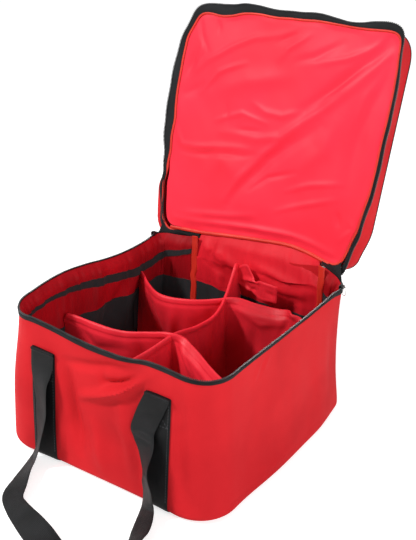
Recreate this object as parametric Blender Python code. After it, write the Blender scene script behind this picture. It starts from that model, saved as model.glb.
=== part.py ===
# An insulated delivery bag with a zipped, hinged lid and a lift-out divider set.
# It stands open: x runs along the front, y from the front to the hinge, z up from the floor.
# Soft walls are modelled as their layers: outer cloth, foam, lining, then the sewn-on bands.

import math

import bmesh
import bpy
from mathutils import Vector

# Body and lid
bagWidth = 0.400
bagDepth = 0.420
rimHeight = 0.245
lidHeight = 0.050
lidOpenDegrees = 107.0
frontRadius = 0.058        # plan radius of the two front corners
rearRadius = 0.020         # plan radius of the two corners beside the hinge
baseRadius = 0.012         # rounding where the walls turn under
leftSeamInset = 0.091      # from the left side to the bound seam beside the hinge
rightSeamInset = 0.042

# Layers of the walls, from the outside in
clothThickness = 0.0012
foamThickness = 0.008
liningThickness = 0.0008
boardThickness = 0.002
seatGap = 0.0003           # between pieces that touch

# Bands and bindings on the inside
bandThickness = 0.001
lowerBandHeight = 0.100
lowerBandTop = 0.155
upperBandHeight = 0.017
upperBandTop = 0.203
bindingWidth = 0.013
bindingThickness = 0.002
lidBindingWidth = 0.0024
lidBindingHeight = 0.0013

# Zip
tapeThickness = 0.0008
tapeHeight = 0.010         # from the parting line to the tape's sewn edge
coilHeight = 0.0019
coilWidth = 0.0024
coilRowGap = 0.002         # between the two rows when the lid is shut
zipChannel = 0.005         # foam and lining stop this far from the parting line
coilRearDegrees = 45.0     # how far the coil follows each rear corner

# Slider and pull
sliderLength = 0.011
sliderHalfHeight = 0.0043
sliderTailHalfHeight = 0.0030
sliderPlate = 0.0012
sliderPostLength = 0.004
bailRadius = 0.0007
bailSpan = 0.0076
bailStandOff = 0.0026      # from the outer plate to the middle of the bail's bar
pullWire = 0.0006          # radius of the wire
pullNeck = 0.0052          # straight stretch below the bail
pullLength = 0.0110
pullHalfWidth = 0.0034
plateOverrun = 0.0002      # how far the post and bail reach into the plates

# Hinge fold and lid edge
hingeRadius = 0.0012
pipingRadius = 0.0011
lidFoamThickness = 0.0095
lidLiningRecess = 0.0055

# Webbing
webbingWidth = 0.045
webbingThickness = 0.0016
webbingSpacing = 0.220     # between the middles of the two straps
foldHeight = 0.200         # where the free handle leaves the sewn strap
webbingAboveFold = 0.006
handleRoll = 0.0022        # radius of the rolled end that turns at the fold
handleReach = 0.175        # how far out on the floor the grip lies

# Dividers
dividerThickness = 0.004
dividerHeight = 0.180
dividerSag = 0.008
dividerMiddle = 0.010      # x of the divider that runs front to back
frontCrossPlace = -0.040   # y where the front cross divider meets it
frontCrossLeftBow = 0.038
frontCrossRightBow = 0.050
rearCrossPlace = 0.128
lapClearance = 0.0008
hookTabWidth = 0.022
hookTabHeight = 0.080
hookTabThickness = 0.0015

# Steps of the round stretches
frontSteps = 7
rearSteps = 5
baseSteps = 5
tubeSides = 8
legSteps = 4

# Depths of the layers, measured inwards from the outer face
foamOuter = clothThickness + seatGap
foamInner = foamOuter + foamThickness
liningOuter = foamInner + seatGap
liningInner = liningOuter + liningThickness
bandOuter = liningInner + seatGap
bandInner = bandOuter + bandThickness

# Heights of the layers of the base
baseClothBottom = webbingThickness + seatGap
baseClothTop = baseClothBottom + clothThickness
boardBottom = baseClothTop + seatGap
boardTop = boardBottom + boardThickness
baseFoamBottom = boardTop + seatGap
baseFoamTop = baseFoamBottom + foamThickness
floorBottom = baseFoamTop + seatGap
floorTop = floorBottom + liningThickness
curveTop = baseClothBottom + baseRadius
wallFoamBottom = max(curveTop, baseFoamTop) + seatGap

# Rim, measured from the parting line, alike below it and above it
rowStart = coilRowGap / 2
rowEnd = rowStart + coilHeight
tapeStart = rowEnd + seatGap
clothStart = tapeHeight + seatGap
hingeStart = hingeRadius + seatGap
wallTop = rimHeight - zipChannel
zipMiddle = clothThickness / 2

# Places along the back
backY = bagDepth / 2
leftSeamX = leftSeamInset - bagWidth / 2
rightSeamX = bagWidth / 2 - rightSeamInset

# Lid
pipingHeight = lidHeight - clothThickness / 2
skirtTop = pipingHeight - pipingRadius - seatGap
panelInset = clothThickness / 2 + pipingRadius + seatGap
lidFoamTop = lidHeight - clothThickness - seatGap
lidFoamBottom = lidFoamTop - lidFoamThickness
lidLiningTop = lidLiningRecess + liningThickness
lidLiningInset = foamOuter + lidBindingWidth + seatGap

# Handles
handleAxisY = backY + seatGap + webbingThickness + seatGap + handleRoll


def clearScene():
    for item in list(bpy.data.objects):
        bpy.data.objects.remove(item, do_unlink=True)


def makeMaterial(name, colour, roughness, metallic=0.0):
    material = bpy.data.materials.new(name)
    material.use_nodes = True
    shader = material.node_tree.nodes["Principled BSDF"]
    shader.inputs["Base Color"].default_value = (*colour, 1.0)
    shader.inputs["Roughness"].default_value = roughness
    shader.inputs["Metallic"].default_value = metallic
    return material


def makeObject(name, points, faces, colour, roughness, metallic=0.0, smoothDegrees=30.0):
    mesh = bpy.data.meshes.new(name)
    mesh.from_pydata([tuple(point) for point in points], [], faces)
    work = bmesh.new()
    work.from_mesh(mesh)
    bmesh.ops.recalc_face_normals(work, faces=work.faces)
    work.to_mesh(mesh)
    work.free()
    mesh.shade_smooth()
    mesh.set_sharp_from_angle(angle=math.radians(smoothDegrees))
    mesh.materials.append(makeMaterial(name + "_finish", colour, roughness, metallic))
    item = bpy.data.objects.new(name, mesh)
    bpy.context.scene.collection.objects.link(item)
    return item


def makeLoft(name, rings, closed, colour, roughness, metallic=0.0):
    """Joins equal rings of points into one body, capped unless its ends meet."""
    size = len(rings[0])
    points = [point for ring in rings for point in ring]
    faces = []
    count = len(rings)
    for index in range(count if closed else count - 1):
        here = index * size
        there = (index + 1) % count * size
        for corner in range(size):
            after = (corner + 1) % size
            faces.append((here + corner, here + after, there + after, there + corner))
    if not closed:
        faces.append(tuple(reversed(range(size))))
        faces.append(tuple(range((count - 1) * size, count * size)))
    return makeObject(name, points, faces, colour, roughness, metallic)


def addBoolean(item, tool, operation):
    """Cuts or joins with a guide body that is itself left out of the part."""
    tool.hide_render = True
    tool.display_type = "WIRE"
    step = item.modifiers.new(tool.name, "BOOLEAN")
    step.operation = operation
    step.object = tool


# Plan outline: each station is a place on the outer face and its outward direction

def cornerStations(centreX, centreY, radius, startDegrees, endDegrees, steps):
    stations = []
    for step in range(steps + 1):
        angle = math.radians(startDegrees + (endDegrees - startDegrees) * step / steps)
        outward = (math.cos(angle), math.sin(angle))
        stations.append((centreX + radius * outward[0], centreY + radius * outward[1], *outward))
    return stations


def rimStations(rearDegrees):
    """From the left rear corner round the front to the right rear corner."""
    rearX = bagWidth / 2 - rearRadius
    rearY = backY - rearRadius
    frontX = bagWidth / 2 - frontRadius
    frontY = backY - frontRadius
    return (cornerStations(-rearX, rearY, rearRadius, 180 - rearDegrees, 180, rearSteps)
            + cornerStations(-frontX, -frontY, frontRadius, 180, 270, frontSteps)
            + cornerStations(frontX, -frontY, frontRadius, 270, 360, frontSteps)
            + cornerStations(rearX, rearY, rearRadius, 0, rearDegrees, rearSteps))


def backStation(x):
    return (x, backY, 0.0, 1.0)


def wallStations(trim):
    """The whole wall from seam to seam, each end kept this far from the seam's middle."""
    return ([backStation(leftSeamX - trim)] + rimStations(90)
            + [backStation(rightSeamX + trim)])


def backStations(trim):
    return [backStation(leftSeamX + trim), backStation(rightSeamX - trim)]


def layerRings(stations, section, shift=Vector((0.0, 0.0, 0.0))):
    """Carries a section of (depth, height) points along the stations."""
    return [[Vector((x - outX * depth, y - outY * depth, height)) - shift
             for depth, height in section]
            for x, y, outX, outY in stations]


def boxSection(outer, inner, bottom, top):
    return [(outer, bottom), (inner, bottom), (inner, top), (outer, top)]


def makeSlab(name, inset, bottom, top, colour, roughness, shift=Vector((0.0, 0.0, 0.0))):
    """A flat sheet of the bag's plan, drawn in by the inset."""
    stations = rimStations(90)
    rings = [[Vector((x - outX * inset, y - outY * inset, height)) - shift
              for x, y, outX, outY in stations] for height in (bottom, top)]
    return makeLoft(name, rings, False, colour, roughness)


def curveInset(height):
    """How far in a flat sheet starts to clear the cloth's curved foot, facets included."""
    drop = max(curveTop - height, 0.0)
    inner = (baseRadius - clothThickness) * math.cos(math.pi / 4 / baseSteps) - seatGap
    return baseRadius - math.sqrt(max(inner * inner - drop * drop, 0.0))


# Colours, in linear light

outerRed = (0.74, 0.033, 0.038)
liningRed = (0.52, 0.014, 0.022)
lidRed = (0.90, 0.055, 0.082)
bindingRed = (0.84, 0.044, 0.016)
webbingBlack = (0.020, 0.021, 0.023)
tapeBlack = (0.016, 0.017, 0.018)
foamGrey = (0.55, 0.56, 0.57)
waddingWhite = (0.75, 0.75, 0.73)
boardWhite = (0.70, 0.70, 0.68)
nickel = (0.62, 0.61, 0.59)
sliderBlack = (0.030, 0.030, 0.032)


# Outer cloth

def clothSection(top):
    """A wall with its foot turned under in a round corner, open at the base."""
    outer = []
    inner = []
    for step in range(baseSteps + 1):
        angle = math.pi / 2 * step / baseSteps
        for points, radius in ((outer, baseRadius), (inner, baseRadius - clothThickness)):
            points.append((baseRadius - radius * math.sin(angle),
                           curveTop - radius * math.cos(angle)))
    return outer + [(0.0, top), (clothThickness, top)] + inner[::-1]


def makeOuterCloth():
    wallTopEdge = rimHeight - clothStart
    makeLoft("wall_band", layerRings(wallStations(seatGap / 2), clothSection(wallTopEdge)),
             False, outerRed, 0.62)
    backTopEdge = rimHeight - hingeStart
    makeLoft("back_panel", layerRings(backStations(seatGap / 2), clothSection(backTopEdge)),
             False, outerRed, 0.62)
    makeSlab("base_panel", baseRadius + seatGap, baseClothBottom, baseClothTop, outerRed, 0.62)


# Foam, board and lining inside the cloth

def makeCore():
    makeSlab("base_board", curveInset(boardBottom), boardBottom, boardTop, boardWhite, 0.7)
    makeSlab("base_foam", curveInset(baseFoamBottom), baseFoamBottom, baseFoamTop,
             foamGrey, 0.8)
    foam = boxSection(foamOuter, foamInner, wallFoamBottom, wallTop)
    makeLoft("wall_foam", layerRings(wallStations(seatGap / 2), foam), False, foamGrey, 0.8)
    makeLoft("back_foam", layerRings(backStations(seatGap / 2), foam), False, foamGrey, 0.8)


def makeLining():
    makeSlab("floor_lining", liningOuter, floorBottom, floorTop, liningRed, 0.5)
    lining = boxSection(liningOuter, liningInner, floorTop + seatGap, wallTop)
    makeLoft("wall_lining", layerRings(wallStations(seatGap / 2), lining), False, liningRed, 0.5)
    makeLoft("back_lining", layerRings(backStations(seatGap / 2), lining), False, liningRed, 0.5)


def makeBands():
    """Loop bands on the lining, and the bindings that cover its two upright seams."""
    bandEnd = bindingWidth / 2 + seatGap
    lower = boxSection(bandOuter, bandInner, lowerBandTop - lowerBandHeight, lowerBandTop)
    upper = boxSection(bandOuter, bandInner, upperBandTop - upperBandHeight, upperBandTop)
    makeLoft("lower_loop_band", layerRings(wallStations(bandEnd), lower), False, tapeBlack, 0.9)
    makeLoft("back_loop_band", layerRings(backStations(bandEnd), lower), False, tapeBlack, 0.9)
    makeLoft("upper_loop_band", layerRings(wallStations(bandEnd), upper), False, tapeBlack, 0.9)
    binding = boxSection(bandOuter, bandOuter + bindingThickness, floorTop + seatGap, wallTop)
    for name, seamX in (("seam_binding_left", leftSeamX), ("seam_binding_right", rightSeamX)):
        stations = [backStation(seamX - bindingWidth / 2), backStation(seamX + bindingWidth / 2)]
        makeLoft(name, layerRings(stations, binding), False, bindingRed, 0.55)


# Zip and hinge fold: the same sections lie below the parting line and, mirrored, above it

def tapeSection(direction):
    half = tapeThickness / 2
    return [(depth, direction * height)
            for depth, height in boxSection(zipMiddle - half, zipMiddle + half,
                                            tapeStart, tapeHeight)]


def coilSection(direction):
    """Six-sided, flattened to the row's height."""
    middle = (rowStart + rowEnd) / 2
    points = []
    for step in range(6):
        angle = math.pi / 3 * step
        points.append((zipMiddle + coilWidth / 2 * math.cos(angle),
                       direction * (middle + coilHeight / 2 * math.sin(angle)
                                    / math.sin(math.pi / 3))))
    return points


def makeLowerZip():
    rim = Vector((0.0, 0.0, -rimHeight))
    makeLoft("zip_tape_lower", layerRings(wallStations(seatGap / 2), tapeSection(-1), rim),
             False, tapeBlack, 0.85)
    makeLoft("zip_coil_lower", layerRings(rimStations(coilRearDegrees), coilSection(-1), rim),
             False, tapeBlack, 0.4)


def circlePoints(radius):
    return [(radius * math.cos(2 * math.pi * step / tubeSides),
             radius * math.sin(2 * math.pi * step / tubeSides)) for step in range(tubeSides)]


def makeHingeFold():
    rings = [[Vector((x, backY + across, rimHeight + up))
              for across, up in circlePoints(hingeRadius)]
             for x in (leftSeamX + seatGap / 2, rightSeamX - seatGap / 2)]
    makeLoft("hinge_fold", rings, False, bindingRed, 0.55)


# Lid, drawn shut about its hinge line and then swung open by the parent's turn

def makeLid():
    hinge = bpy.data.objects.new("lid_hinge", None)
    hinge.location = (0.0, backY, rimHeight)
    hinge.rotation_euler = (-math.radians(lidOpenDegrees), 0.0, 0.0)
    bpy.context.scene.collection.objects.link(hinge)
    line = Vector((0.0, backY, 0.0))
    whole = rimStations(90)
    skirt = boxSection(0.0, clothThickness, clothStart, skirtTop)
    rearPanel = boxSection(0.0, clothThickness, hingeStart, skirtTop)
    binding = boxSection(foamOuter, foamOuter + lidBindingWidth,
                         lidLiningTop - lidBindingHeight, lidLiningTop)
    piping = [(clothThickness / 2 + across, pipingHeight + up)
              for across, up in circlePoints(pipingRadius)]
    pieces = [
        makeLoft("lid_skirt", layerRings(wallStations(seatGap / 2), skirt, line),
                 False, outerRed, 0.62),
        makeLoft("lid_rear_panel", layerRings(backStations(seatGap / 2), rearPanel, line),
                 False, outerRed, 0.62),
        makeSlab("lid_panel", panelInset, lidHeight - clothThickness, lidHeight,
                 outerRed, 0.62, line),
        makeLoft("lid_piping", layerRings(whole, piping, line), True, tapeBlack, 0.7),
        makeSlab("lid_foam", panelInset, lidFoamBottom, lidFoamTop, foamGrey, 0.8, line),
        makeSlab("lid_wadding", foamOuter, lidLiningTop + seatGap, lidFoamBottom - seatGap,
                 waddingWhite, 0.9, line),
        makeSlab("lid_lining", lidLiningInset, lidLiningRecess, lidLiningTop,
                 lidRed, 0.35, line),
        makeLoft("lid_binding", layerRings(whole, binding, line), True, bindingRed, 0.55),
        makeLoft("zip_tape_upper", layerRings(wallStations(seatGap / 2), tapeSection(1), line),
                 False, tapeBlack, 0.85),
        makeLoft("zip_coil_upper", layerRings(rimStations(coilRearDegrees), coilSection(1), line),
                 False, tapeBlack, 0.4),
    ]
    for piece in pieces:
        piece.parent = hinge


# Slider: two plates either side of the rows, a post between the rows, a bail outside

def plateOutline():
    """Wide end first: half-heights of the plate along its length."""
    half = sliderLength / 2
    shoulder = half * 0.5
    return [(-half, sliderHalfHeight * 0.7), (-shoulder, sliderHalfHeight),
            (shoulder, sliderTailHalfHeight), (half, sliderTailHalfHeight * 0.7)]


def makePlate(name, side, innerX, outerX):
    edge = plateOutline()
    outline = edge + [(along, -up) for along, up in reversed(edge)]
    rings = [[Vector((side * x, along, up)) for along, up in outline] for x in (innerX, outerX)]
    return makeLoft(name, rings, False, sliderBlack, 0.35, 0.6)


def makeSlider(name, side):
    rowFace = coilWidth / 2 - zipMiddle + seatGap
    outerPlate = rowFace + sliderPlate
    innerFace = -(zipMiddle + coilWidth / 2 + seatGap)
    innerPlate = innerFace - sliderPlate
    slider = makePlate(name, side, rowFace, outerPlate)
    inner = makePlate(name + "_inner", side, innerPlate, innerFace)
    postHalf = rowStart - seatGap
    postRings = [[Vector((side * x, along, up))
                  for along, up in ((-sliderPostLength / 2, -postHalf),
                                    (sliderPostLength / 2, -postHalf),
                                    (sliderPostLength / 2, postHalf),
                                    (-sliderPostLength / 2, postHalf))]
                 for x in (innerFace - plateOverrun, rowFace + plateOverrun)]
    post = makeLoft(name + "_post", postRings, False, sliderBlack, 0.35, 0.6)
    bail = makeBail(name + "_bail", side, outerPlate)
    for tool in (post, inner, bail):
        addBoolean(slider, tool, "UNION")
        tool.parent = slider
    slider.location = (side * bagWidth / 2, sliderRestY(), rimHeight)
    makePull(name.replace("slider", "pull"), side, side * (bagWidth / 2 + outerPlate + bailStandOff))


def sliderRestY():
    return backY - rearRadius - sliderLength / 2 - seatGap


def makeBail(name, side, plateX):
    """A bar along the slider, held off the plate on two round shoulders."""
    barX = plateX + bailStandOff
    bend = bailStandOff / 2
    middles = [(plateX - plateOverrun, -bailSpan / 2, 0.0)]
    for step in range(legSteps + 1):
        angle = math.pi / 2 * step / legSteps
        middles.append((barX - bend * (1 - math.sin(angle)),
                        -bailSpan / 2 + bend * (1 - math.cos(angle)), angle))
    middles += [(x, -along, math.pi - angle) for x, along, angle in reversed(middles)]
    rings = []
    for x, along, angle in middles:
        ring = []
        for across, up in circlePoints(bailRadius):
            ring.append(Vector((side * (x + across * math.sin(angle)),
                                along - across * math.cos(angle), up)))
        rings.append(ring)
    return makeLoft(name, rings, False, sliderBlack, 0.35, 0.6)


def makePull(name, side, barX):
    """A wire loop round the bail's bar: a tight eye, a neck and a round end."""
    eye = bailRadius + seatGap + pullWire
    middles = []
    for step in range(legSteps * 2 + 1):
        angle = math.pi * step / (legSteps * 2)
        middles.append((eye * math.cos(angle), eye * math.sin(angle)))
    middles.append((-eye, -pullNeck))
    for step in range(legSteps * 2 + 1):
        angle = math.pi + math.pi * step / (legSteps * 2)
        middles.append((pullHalfWidth * math.cos(angle),
                        -pullLength + pullHalfWidth * math.sin(angle)))
    middles.append((eye, -pullNeck))
    count = len(middles)
    rings = []
    for index, (out, up) in enumerate(middles):
        before = Vector(middles[index - 1])
        after = Vector(middles[(index + 1) % count])
        heading = (after - before).normalized()
        normal = Vector((heading.y, -heading.x))
        rings.append([Vector((side * (out + normal.x * across), along, up + normal.y * across))
                      for across, along in circlePoints(pullWire)])
    pull = makeLoft(name, rings, True, nickel, 0.3, 1.0)
    pull.location = (barX, sliderRestY(), rimHeight)


# Webbing: a strap sewn up the front, under the base and up the back

def makeWebbing(name, middleX):
    outerRadius = baseRadius + seatGap + webbingThickness
    innerRadius = baseRadius + seatGap
    cornerY = backY - baseRadius
    top = foldHeight + webbingAboveFold
    profile = [(backY + seatGap, backY + seatGap + webbingThickness, top)]
    bend = []
    for step in range(baseSteps + 1):
        angle = math.pi / 2 * step / baseSteps
        bend.append(((cornerY + innerRadius * math.cos(angle),
                      curveTop - innerRadius * math.sin(angle)),
                     (cornerY + outerRadius * math.cos(angle),
                      curveTop - outerRadius * math.sin(angle))))
    face = [((inner, height), (outer, height)) for inner, outer, height in profile] + bend
    path = [((-a[0], a[1]), (-b[0], b[1])) for a, b in face] + face[::-1]
    rings = []
    for inner, outer in path:
        rings.append([Vector((middleX + across, y, z)) for across, (y, z) in (
            (-webbingWidth / 2, inner), (webbingWidth / 2, inner),
            (webbingWidth / 2, outer), (-webbingWidth / 2, outer))])
    makeLoft(name, rings, False, webbingBlack, 0.85)


# Free handle: shares of half the strap spacing, of the reach and of the fold's height,
# then how far its width line turns from the right towards the back and tips up, in degrees
handleRouteShares = [
    (-1.00, 0.000, 1.000, 0, 0),
    (-1.01, 0.006, 0.882, 0, 6),
    (-1.01, 0.024, 0.802, -8, 12),
    (-1.00, 0.049, 0.714, -19, 21),
    (-0.98, 0.063, 0.602, -25, 25),
    (-0.98, 0.069, 0.450, -25, 28),
    (-0.99, 0.086, 0.313, -33, 30),
    (-1.00, 0.099, 0.224, -39, 33),
    (-1.04, 0.104, 0.133, -38, 30),
    (-1.07, 0.143, 0.058, -32, 30),
    (-0.97, 0.302, 0.053, -25, 27),
    (-0.86, 0.465, 0.040, -14, 19),
    (-0.77, 0.602, 0.031, -3, 15),
    (-0.64, 0.683, 0.036, 12, 18),
    (-0.42, 0.763, 0.048, 24, 25),
    (-0.17, 0.832, 0.055, 38, 28),
    (0.09, 0.889, 0.040, 52, 20),
    (0.38, 0.952, 0.016, 66, 9),
    (0.71, 0.985, 0.000, 82, 0),
    (1.02, 0.979, 0.000, 102, 0),
    (1.27, 0.901, 0.000, 130, 0),
    (1.36, 0.769, 0.014, 150, -8),
    (1.33, 0.643, 0.039, 160, -20),
    (1.25, 0.522, 0.059, 155, -31),
    (1.18, 0.385, 0.055, 166, -28),
    (1.09, 0.250, 0.055, 165, -28),
    (0.99, 0.130, 0.061, 159, -32),
    (0.97, 0.109, 0.127, 149, -33),
    (0.95, 0.101, 0.202, 144, -33),
    (0.91, 0.097, 0.283, 140, -34),
    (0.91, 0.095, 0.368, 137, -36),
    (0.90, 0.083, 0.451, 146, -30),
    (0.88, 0.060, 0.536, 159, -25),
    (0.82, 0.035, 0.602, 170, -16),
    (0.78, 0.023, 0.664, 177, -5),
    (0.82, 0.018, 0.749, 177, 2),
    (0.91, 0.012, 0.880, 178, 5),
    (1.00, 0.000, 1.000, 180, 0),
]


def routePoint(row):
    acrossShare, outShare, upShare = row[:3]
    floor = webbingThickness / 2
    return Vector((acrossShare * webbingSpacing / 2, -outShare * handleReach,
                   floor + upShare * (foldHeight - floor) - foldHeight))


def routeAcross(row):
    turn, tip = math.radians(row[3]), math.radians(row[4])
    return Vector((math.cos(turn) * math.cos(tip), math.sin(turn) * math.cos(tip),
                   math.sin(tip)))


def cubicThrough(a, b, c, d, t):
    """A point of the smooth curve from b to c, with a before and d after."""
    return 0.5 * (2 * b + (c - a) * t + (2 * a - 5 * b + 4 * c - d) * t ** 2
                  + (3 * b - a - 3 * c + d) * t ** 3)


def smoothRoute():
    """Places and width lines on a smooth curve through the route's rows."""
    rows = handleRouteShares
    stations = []
    for index in range(len(rows) - 1):
        around = [rows[max(index - 1, 0)], rows[index], rows[index + 1],
                  rows[min(index + 2, len(rows) - 1)]]
        for step in range(legSteps):
            t = step / legSteps
            place = cubicThrough(*[routePoint(row) for row in around], t)
            place.z = max(place.z, webbingThickness / 2 - foldHeight)
            across = cubicThrough(*[routeAcross(row) for row in around], t)
            stations.append((place, across.normalized()))
    stations.append((routePoint(rows[-1]), routeAcross(rows[-1])))
    return stations


def rollStations(x, across):
    """The rolled end: places above and below the fold's axis, each with its thickness."""
    stations = []
    for degrees in (20, 50, 90, 130):
        angle = math.radians(degrees)
        stations.append((Vector((x, 0.0, handleRoll * math.cos(angle))),
                         across, 2 * handleRoll * math.sin(angle)))
    return stations


def makeHandle(name, side):
    """The front handle has side -1; the rear one is it turned half round. Both lie on the floor."""
    free = [(place, across, webbingThickness) for place, across in smoothRoute()
            if place.z < -handleRoll]
    start = rollStations(-webbingSpacing / 2, Vector((1.0, 0.0, 0.0)))
    end = rollStations(webbingSpacing / 2, Vector((-1.0, 0.0, 0.0)))[::-1]
    stations = start + free + end
    rings = []
    for index, (place, across, thickness) in enumerate(stations):
        before = stations[max(index - 1, 0)][0]
        after = stations[min(index + 1, len(stations) - 1)][0]
        normal = across.cross((after - before).normalized()).normalized()
        ring = []
        for wide, thick in ((-1, -1), (1, -1), (1, 1), (-1, 1)):
            point = (place + across * (wide * webbingWidth / 2)
                     + normal * (thick * thickness / 2))
            ring.append(Vector((-side * point.x, -side * point.y, max(point.z, -foldHeight))))
        rings.append(ring)
    handle = makeLoft(name, rings, False, webbingBlack, 0.85)
    handle.location = (0.0, side * handleAxisY, foldHeight)


# Dividers: padded panels half-lapped where they cross, with a hook tab at each end

def tabFace(size):
    """Where a tab's outer face lies, from the middle of the bag."""
    return size / 2 - bandInner - seatGap


def dividerEnd(size):
    return tabFace(size) - hookTabThickness - seatGap


def dividerBottom():
    return floorTop + seatGap


def panelRings(places, middles):
    """Upright panel along the places; its top edge sags between the panels it crosses."""
    bottom = dividerBottom()
    rings = []
    for along, sag in places:
        across = middles(along)
        ring = [(across - dividerThickness / 2, bottom), (across + dividerThickness / 2, bottom),
                (across + dividerThickness / 2, bottom + dividerHeight - sag),
                (across - dividerThickness / 2, bottom + dividerHeight - sag)]
        rings.append([(along, side, up) for side, up in ring])
    return rings


def saggingPlaces(ends, steps):
    """Steps from end to end, deepest sag halfway between neighbouring ends."""
    places = []
    for start, stop in zip(ends, ends[1:]):
        for step in range(steps):
            share = step / steps
            places.append((start + (stop - start) * share,
                           dividerSag * math.sin(math.pi * share) ** 2))
    places.append((ends[-1], 0.0))
    return places


def frontCrossMiddle(x):
    """The front cross divider bows towards the front away from the crossing."""
    reach = dividerEnd(bagWidth)
    offset = x - dividerMiddle
    if offset < 0:
        return frontCrossPlace - frontCrossLeftBow * (offset / (reach + dividerMiddle)) ** 2
    return frontCrossPlace - frontCrossRightBow * (offset / (reach - dividerMiddle)) ** 2


def makeLapCutter(name, place, low, high):
    half = dividerThickness / 2 + lapClearance
    centreX, centreY = place
    corners = [(-half, -half), (half, -half), (half, half), (-half, half)]
    rings = [[Vector((centreX + x, centreY + y, z)) for x, y in corners] for z in (low, high)]
    return makeLoft(name, rings, False, outerRed, 0.6)


def makeDividers():
    endX = dividerEnd(bagWidth)
    endY = dividerEnd(bagDepth)
    bottom = dividerBottom()
    top = bottom + dividerHeight
    lapHeight = (bottom + top) / 2
    overrun = dividerThickness
    crossings = (("front", frontCrossPlace), ("rear", rearCrossPlace))
    longPlaces = saggingPlaces([-endY, frontCrossPlace, rearCrossPlace, endY], legSteps)
    longRings = [[Vector((side, along, up)) for along, side, up in ring]
                 for ring in panelRings(longPlaces, lambda along: dividerMiddle)]
    longPanel = makeLoft("divider_long", longRings, False, lidRed, 0.5)
    crossPlaces = saggingPlaces([-endX, dividerMiddle, endX], 2 * legSteps)
    for name, crossY in crossings:
        middles = frontCrossMiddle if name == "front" else (lambda along: rearCrossPlace)
        rings = [[Vector(point) for point in ring] for ring in panelRings(crossPlaces, middles)]
        panel = makeLoft("divider_cross_" + name, rings, False, lidRed, 0.5)
        place = (dividerMiddle, crossY)
        addBoolean(longPanel, makeLapCutter("lap_down_" + name, place, lapHeight, top + overrun),
                   "DIFFERENCE")
        addBoolean(panel, makeLapCutter("lap_up_" + name, place, bottom - overrun,
                                        lapHeight + lapClearance), "DIFFERENCE")


def makeHookTabs():
    """One tab at each end of each divider, flat against the loop band."""
    faceX = tabFace(bagWidth)
    faceY = tabFace(bagDepth)
    innerX = faceX - hookTabThickness
    innerY = faceY - hookTabThickness
    half = hookTabWidth / 2
    top = lowerBandTop - (lowerBandHeight - hookTabHeight) / 2
    tabs = {}
    for sideName, side in (("left", -1), ("right", 1)):
        crossPlaces = {"front": frontCrossMiddle(side * dividerEnd(bagWidth)),
                       "rear": rearCrossPlace}
        for crossName, crossY in crossPlaces.items():
            tabs[f"hook_tab_{crossName}_{sideName}"] = (side * innerX, side * faceX,
                                                        crossY - half, crossY + half)
    for endName, side in (("front", -1), ("rear", 1)):
        tabs[f"hook_tab_long_{endName}"] = (dividerMiddle - half, dividerMiddle + half,
                                            side * innerY, side * faceY)
    for name, (x0, x1, y0, y1) in tabs.items():
        rings = [[Vector((x, y, z)) for x, y in ((x0, y0), (x1, y0), (x1, y1), (x0, y1))]
                 for z in (top - hookTabHeight, top)]
        makeLoft(name, rings, False, tapeBlack, 0.9)


def main():
    clearScene()
    makeOuterCloth()
    makeCore()
    makeLining()
    makeBands()
    makeLowerZip()
    makeHingeFold()
    makeLid()
    makeSlider("slider_left", -1)
    makeSlider("slider_right", 1)
    makeWebbing("webbing_left", -webbingSpacing / 2)
    makeWebbing("webbing_right", webbingSpacing / 2)
    makeHandle("handle_front", -1)
    makeHandle("handle_rear", 1)
    makeDividers()
    makeHookTabs()


main()
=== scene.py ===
import math

import bmesh
import bpy
import numpy as np
from mathutils import Matrix, Vector


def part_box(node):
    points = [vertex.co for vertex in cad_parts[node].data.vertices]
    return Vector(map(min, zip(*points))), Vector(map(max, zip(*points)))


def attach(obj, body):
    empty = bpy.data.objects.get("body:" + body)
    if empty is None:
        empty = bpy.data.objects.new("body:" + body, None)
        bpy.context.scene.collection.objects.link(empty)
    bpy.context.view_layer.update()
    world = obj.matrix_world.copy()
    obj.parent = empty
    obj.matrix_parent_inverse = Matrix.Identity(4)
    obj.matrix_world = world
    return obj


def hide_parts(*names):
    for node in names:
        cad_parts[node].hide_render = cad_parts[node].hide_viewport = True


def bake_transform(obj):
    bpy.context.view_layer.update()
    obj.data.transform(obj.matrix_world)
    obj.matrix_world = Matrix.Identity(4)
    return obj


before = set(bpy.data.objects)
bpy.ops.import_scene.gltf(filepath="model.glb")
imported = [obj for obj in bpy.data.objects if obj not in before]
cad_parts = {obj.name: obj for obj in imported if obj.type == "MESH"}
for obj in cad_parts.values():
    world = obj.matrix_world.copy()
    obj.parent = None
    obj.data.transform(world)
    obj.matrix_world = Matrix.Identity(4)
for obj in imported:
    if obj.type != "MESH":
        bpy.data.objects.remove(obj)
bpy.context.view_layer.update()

# A red insulated delivery bag standing open, dressed over its solids. Everything is in metres:
# x runs along the front, y from the front to the hinge, z up from the floor.
print("bag scene: frame loaded")

bag = {
    "width": 0.400, "depth": 0.420, "rim": 0.245, "lidOpen": 107.0,
    "frontRadius": 0.058, "rearRadius": 0.020, "footRadius": 0.012,
    "leftSeam": -0.109, "rightSeam": 0.158, "gap": 0.0003, "seamGap": 0.00015, "cloth": 0.0012,
    "webbingWidth": 0.045, "webbing": 0.0016, "webbingSpacing": 0.220, "foldHeight": 0.200,
}
halfWidth, backY, strapX = bag["width"] / 2, bag["depth"] / 2, bag["webbingSpacing"] / 2
footBottom = bag["webbing"] + bag["gap"]
curveTop = footBottom + bag["footRadius"]
mm = 0.001


# Shared tools

def linearColour(text):
    # sRGB hex to linear light: the low end is a straight line, the rest a power of 2.4.
    parts = np.array([int(text[i:i + 2], 16) / 255 for i in (1, 3, 5)])
    low = parts <= 0.04045
    return (*np.where(low, parts / 12.92, ((parts + 0.055) / 1.055) ** 2.4), 1.0)


def ease(value):
    # 0 below 0, 1 above 1, and 3t^2 - 2t^3 between.
    t = np.clip(value, 0.0, 1.0)
    return t * t * (3 - 2 * t)


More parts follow.
